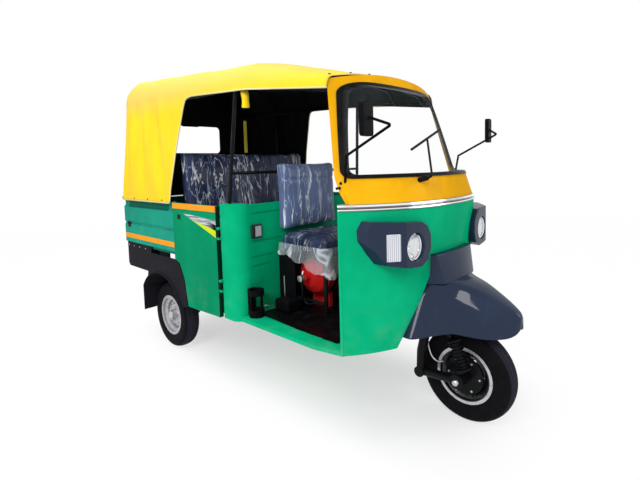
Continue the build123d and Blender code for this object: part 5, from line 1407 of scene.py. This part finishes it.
def build_nose_panel():
    """Panel above the mudguard: a bowed face, and sides that run back from its edge and flare."""
    u = np.linspace(-1, 1, 33)[None]
    v = np.linspace(0, 1, 19)[:, None]
    half_width = NOSE_HALF[0] * (1 - v) + NOSE_HALF[1] * v
    depth = np.linspace(0, 1, 9)[:, None, None]
    face_x = NOSE_X + NOSE_LEAN * v - NOSE_BOW * u ** 2
    front = np.stack(np.broadcast_arrays(face_x, half_width * u, NOSE_TOP_Z - NOSE_DROP * v), -1)
    flare = np.stack(np.broadcast_arrays(-0.050 - 0.036 * v, u * (0.006 + 0.030 * v), 0.004 - 0.010 * v), -1)
    sides = edge_of(front)[None] + depth * edge_of(flare)[None]
    panel = sheet_of(front) + sheet_of(sides, False, True)
    piece = add("nose_panel", panel, "slate_plastic", "body", ("nose_trim",), 30, WELD)
    round_edges(piece, 0.004, 3, 30)


# --- Stage ---
FLOOR_RADIUS, FLOOR_Z, FLOOR_WHITE, WORLD_LIGHT = 9, -0.0005, 0.55, 0.38
RAYS = ("Camera", "Glossy", "Transmission")
AREA_LIGHTS = {
    # light: place, target, size, power
    "key": ((2.2, -4.8, 4.4), (0.1, -0.2, 0.8), (3.0, 2.2), 225),
    "fill": ((4.8, 2.2, 2.4), (0.5, 0.0, 0.8), (3.0, 2.4), 70),
    "top": ((-0.9, -1.5, 5.0), (-0.1, 0.0, 0.8), (3.0, 2.0), 110),
    "back": ((-4.6, 1.6, 3.0), (-0.4, 0.0, 0.9), (3.0, 2.4), 60),
}
# The camera's place, its yaw, pitch and roll in degrees, and its lens in pixels of the render.
CAMERA_PLACE, CAMERA_TURN = (2.081, -1.988, 1.295), (133.42, 4.44, -1.53)
RENDER_WIDTH, RENDER_HEIGHT, FOCAL_LENGTH, MIDDLE = 640, 480, 422.8, (322.8, 198.4)
SENSOR_WIDTH = 36.0


def white_where_seen(tree, shader, output, kind, share):
    """Feeds a surface that is plain white to the camera, to reflections and through glass, and itself elsewhere.

    The share of white there is a number or a shade.
    """
    path = tree.nodes.new("ShaderNodeLightPath")
    seen, glossy, clear = (Shade(Handle(tree), path.outputs[f"Is {ray} Ray"]) for ray in RAYS)
    factor = seen.most(glossy).most(clear) * share
    white = tree.nodes.new(kind)
    white.inputs["Color"].default_value = (1, 1, 1, 1)
    white.inputs["Strength"].default_value = 1.0
    mix = tree.nodes.new("ShaderNodeMixShader")
    tree.links.new(factor.socket, mix.inputs[0])
    tree.links.new(shader.outputs[0], mix.inputs[1])
    tree.links.new(white.outputs[0], mix.inputs[2])
    tree.links.new(mix.outputs[0], output.inputs["Surface"])


class Handle:
    """A bare node tree that shader arithmetic can add to."""

    def __init__(self, tree):
        self.tree = tree

    node = Finish.node


def area_light(name, place, target, size, power):
    """Soft oblong lamp that faces a target."""
    lamp = bpy.data.lights.new(name, "AREA")
    lamp.shape = "RECTANGLE"
    lamp.size, lamp.size_y = size
    lamp.energy = power
    holder = bpy.data.objects.new(name, lamp)
    holder.location = place
    aim = np.asarray(place) - np.asarray(target)
    holder.rotation_euler = mathutils.Vector(aim).to_track_quat("Z", "Y").to_euler()
    bpy.context.scene.collection.objects.link(holder)


def build_floor():
    """Round pale floor, white to the camera away from the vehicle and shaded close to it."""
    angle = round_angles(96)
    disc = np.stack([FLOOR_RADIUS * np.cos(angle), FLOOR_RADIUS * np.sin(angle), 0 * angle + FLOOR_Z], -1)
    floor = mesh_from("floor", Form(disc, [np.arange(96)[None]]))
    holder = bpy.data.objects.new("floor", floor)
    bpy.context.scene.collection.objects.link(holder)
    ground = Finish("floor_paper", roughness=0.9, specular_ior_level=0.05)
    ground.put("Base Color", ground.mix(ground.noise(0.8, 3.0), (0.90, 0.90, 0.90), (0.94, 0.94, 0.94)))
    near = (1 - abs(ground.x).step(1.0, 1.6)) * (1 - abs(ground.y + 0.05).step(0.2, 0.8))
    share = FLOOR_WHITE + (1 - FLOOR_WHITE) * ((1 - near) * 0.97)
    white_where_seen(ground.tree, ground.shader, ground.tree.nodes["Material Output"], "ShaderNodeEmission", share)
    floor.materials.append(ground.material)


def build_world():
    """White world that lights softly."""
    world = bpy.data.worlds.new("white_room")
    bpy.context.scene.world = world
    world.use_nodes = True
    tree = world.node_tree
    tree.nodes.clear()
    soft = tree.nodes.new("ShaderNodeBackground")
    soft.inputs["Color"].default_value = (1, 1, 1, 1)
    soft.inputs["Strength"].default_value = WORLD_LIGHT
    white_where_seen(tree, soft, tree.nodes.new("ShaderNodeOutputWorld"), "ShaderNodeBackground", 1.0)


def build_camera():
    """Camera at its place: yaw and pitch aim it, and it rolls about its line of sight."""
    yaw, pitch, roll = (math.radians(a) for a in CAMERA_TURN)
    ahead = np.array((math.cos(yaw) * math.cos(pitch), math.sin(yaw) * math.cos(pitch), -math.sin(pitch)))
    right = unit(np.cross(ahead, (0, 0, 1)))
    up = np.cross(right, ahead)
    right, up = math.cos(roll) * right + math.sin(roll) * up, math.cos(roll) * up - math.sin(roll) * right
    lens = bpy.data.cameras.new("camera")
    lens.sensor_width = SENSOR_WIDTH
    lens.lens = FOCAL_LENGTH * SENSOR_WIDTH / RENDER_WIDTH
    lens.shift_x = (RENDER_WIDTH / 2 - MIDDLE[0]) / RENDER_WIDTH
    lens.shift_y = (MIDDLE[1] - RENDER_HEIGHT / 2) / RENDER_WIDTH
    view = bpy.data.objects.new("camera", lens)
    turn = np.stack([right, up, -ahead], -1).tolist()
    view.matrix_world = mathutils.Matrix([(*row, place) for row, place in zip(turn, CAMERA_PLACE)] + [(0, 0, 0, 1)])
    bpy.context.scene.collection.objects.link(view)
    bpy.context.scene.camera = view


def build_stage():
    """Pale floor, soft lamps, white world and the camera."""
    bpy.context.scene.view_settings.view_transform = "Standard"
    build_floor()
    build_world()
    for name, (place, target, size, power) in AREA_LIGHTS.items():
        area_light(name, place, target, size, power)
    build_camera()


# --- Sizes and colours that a user would change ---
def length_of(name, description, default, low=0.0, high=1.0):
    """Property for a length in metres."""
    return FloatProperty(name=name, description=description, default=default, min=low, max=high, unit="LENGTH")


def colour_of(name, description, default):
    """Property for a colour."""
    return FloatVectorProperty(name=name, description=description, default=tint(default), size=3, min=0, max=1,
                               subtype="COLOR")


class RickshawSizes(bpy.types.PropertyGroup):
    """Sizes of the soft and small pieces."""
    canvas: length_of("Canvas thickness", "Thickness of the hood's coated canvas", 0.003, 0.001, 0.006)
    fold: length_of("Fold depth", "Depth of the folds in the hood's rear quarters", 0.0105, 0.0, 0.012)
    sag: length_of("Roof sag", "How far the roof sinks between bows", 0.0045, 0.0, 0.02)
    swell: length_of("Cushion swell", "How far a cushion's skin may move as it fills", 0.010, 0.0, 0.03)
    tread: length_of("Tread depth", "Depth of the grooves in the tyres", 0.007, 0.002, 0.012)
    fill: FloatProperty(name="Cushion fill", description="How full the cushions are, from slack to tight",
                        default=0.75, min=0.0, max=1.0, subtype="FACTOR")


class RickshawColours(bpy.types.PropertyGroup):
    """Colours of the paint, the canvas and the seats."""
    green: colour_of("Cab green", "Enamel of the front cowl, doors and pillars", "#00AC78")
    teal: colour_of("Bed teal", "Enamel of the load bed", "#1E9A82")
    yellow: colour_of("Cab yellow", "Enamel of the upper cowl", "#EBAB10")
    stripe: colour_of("Stripe orange", "Stripe along the bed and the top of the doors", "#F09A28")
    red: colour_of("Cylinder red", "Enamel of the fuel cylinder", "#C81E1E")
    slate: colour_of("Slate", "Moulded nose trim, lamp bezels and mudguard", "#1D2940")
    canvas: colour_of("Canvas", "Hood canvas where it is clean", "#FBD922")
    canvas_shade: colour_of("Canvas shade", "Hood canvas where it has faded", "#F5CD18")
    vinyl: colour_of("Passenger vinyl", "Passenger seat and driver's cushion", "#101935")
    driver_vinyl: colour_of("Driver vinyl", "Driver's backrest", "#4D5C7E")


# --- Operators ---
class RickshawFinishes(bpy.types.Operator):
    """Makes every finish from the chosen colours."""
    bl_idname = "rickshaw.finishes"
    bl_label = "Make finishes"

    def execute(self, context):
        make_finishes(context.scene.rickshaw_colours)
        return {"FINISHED"}


class RickshawStage(bpy.types.Operator):
    """Sets the floor, lamps, white world and camera."""
    bl_idname = "rickshaw.stage"
    bl_label = "Set the stage"

    def execute(self, context):
        build_stage()
        return {"FINISHED"}


class RickshawPanels(bpy.types.Operator):
    """Rounds and paints the body panels and the frame."""
    bl_idname = "rickshaw.panels"
    bl_label = "Finish panels"

    def execute(self, context):
        build_panels()
        return {"FINISHED"}


class RickshawMudguard(bpy.types.Operator):
    """Builds the mudguard and the panel above it."""
    bl_idname = "rickshaw.mudguard"
    bl_label = "Build mudguard"

    def execute(self, context):
        build_mudguard()
        build_nose_panel()
        return {"FINISHED"}


class RickshawHood(bpy.types.Operator):
    """Builds the canvas hood with its piping, window binding and fasteners."""
    bl_idname = "rickshaw.hood"
    bl_label = "Build hood"

    def execute(self, context):
        build_hood(context.scene.rickshaw_sizes)
        return {"FINISHED"}


class RickshawSeats(bpy.types.Operator):
    """Builds the four filled cushions."""
    bl_idname = "rickshaw.seats"
    bl_label = "Build seats"

    def execute(self, context):
        build_seats(context.scene.rickshaw_sizes)
        return {"FINISHED"}


class RickshawWheels(bpy.types.Operator):
    """Builds the tyres and finishes the rims and hubs."""
    bl_idname = "rickshaw.wheels"
    bl_label = "Build wheels"

    def execute(self, context):
        build_wheels(context.scene.rickshaw_sizes)
        return {"FINISHED"}


class RickshawLamps(bpy.types.Operator):
    """Builds the headlamps and finishes the signal and marker lamps."""
    bl_idname = "rickshaw.lamps"
    bl_label = "Build lamps"

    def execute(self, context):
        build_lamps()
        return {"FINISHED"}


class RickshawMirrors(bpy.types.Operator):
    """Finishes the mirrors and adds their faces."""
    bl_idname = "rickshaw.mirrors"
    bl_label = "Finish mirrors"

    def execute(self, context):
        build_mirrors()
        return {"FINISHED"}


class RickshawFixings(bpy.types.Operator):
    """Adds rivets, screws, latches and door catches."""
    bl_idname = "rickshaw.fixings"
    bl_label = "Add fixings"

    def execute(self, context):
        build_fixings()
        return {"FINISHED"}


class RickshawCab(bpy.types.Operator):
    """Fits the fuel cylinder, floor mat, seat guard, pipes, lever and the cushion's loose film."""
    bl_idname = "rickshaw.cab"
    bl_label = "Fit the cab"

    def execute(self, context):
        build_cylinder()
        build_cab_inside()
        return {"FINISHED"}


class RickshawPanel(bpy.types.Panel):
    """Sizes, colours and steps of the finish."""
    bl_idname = "VIEW3D_PT_rickshaw"
    bl_label = "Auto rickshaw finish"
    bl_space_type = "VIEW_3D"
    bl_region_type = "UI"
    bl_category = "Rickshaw"

    def draw(self, context):
        for group in (context.scene.rickshaw_sizes, context.scene.rickshaw_colours):
            for key in group.__annotations__:
                self.layout.prop(group, key)
        for step in STEPS:
            self.layout.operator(step.bl_idname)


STEPS = (RickshawFinishes, RickshawStage, RickshawPanels, RickshawMudguard, RickshawHood, RickshawSeats,
         RickshawWheels, RickshawLamps, RickshawMirrors, RickshawFixings, RickshawCab)
CLASSES = (RickshawSizes, RickshawColours, *STEPS, RickshawPanel)


def register():
    """Makes the classes and the scene's two groups of settings known."""
    for item in CLASSES:
        bpy.utils.register_class(item)
    bpy.types.Scene.rickshaw_sizes = PointerProperty(type=RickshawSizes)
    bpy.types.Scene.rickshaw_colours = PointerProperty(type=RickshawColours)


def unregister():
    """Takes them away again."""
    del bpy.types.Scene.rickshaw_sizes, bpy.types.Scene.rickshaw_colours
    for item in reversed(CLASSES):
        bpy.utils.unregister_class(item)


def main():
    """Runs every step in order."""
    register()
    for step in STEPS:
        getattr(bpy.ops.rickshaw, step.bl_idname.split(".")[1])()


if __name__ == "__main__":
    main()
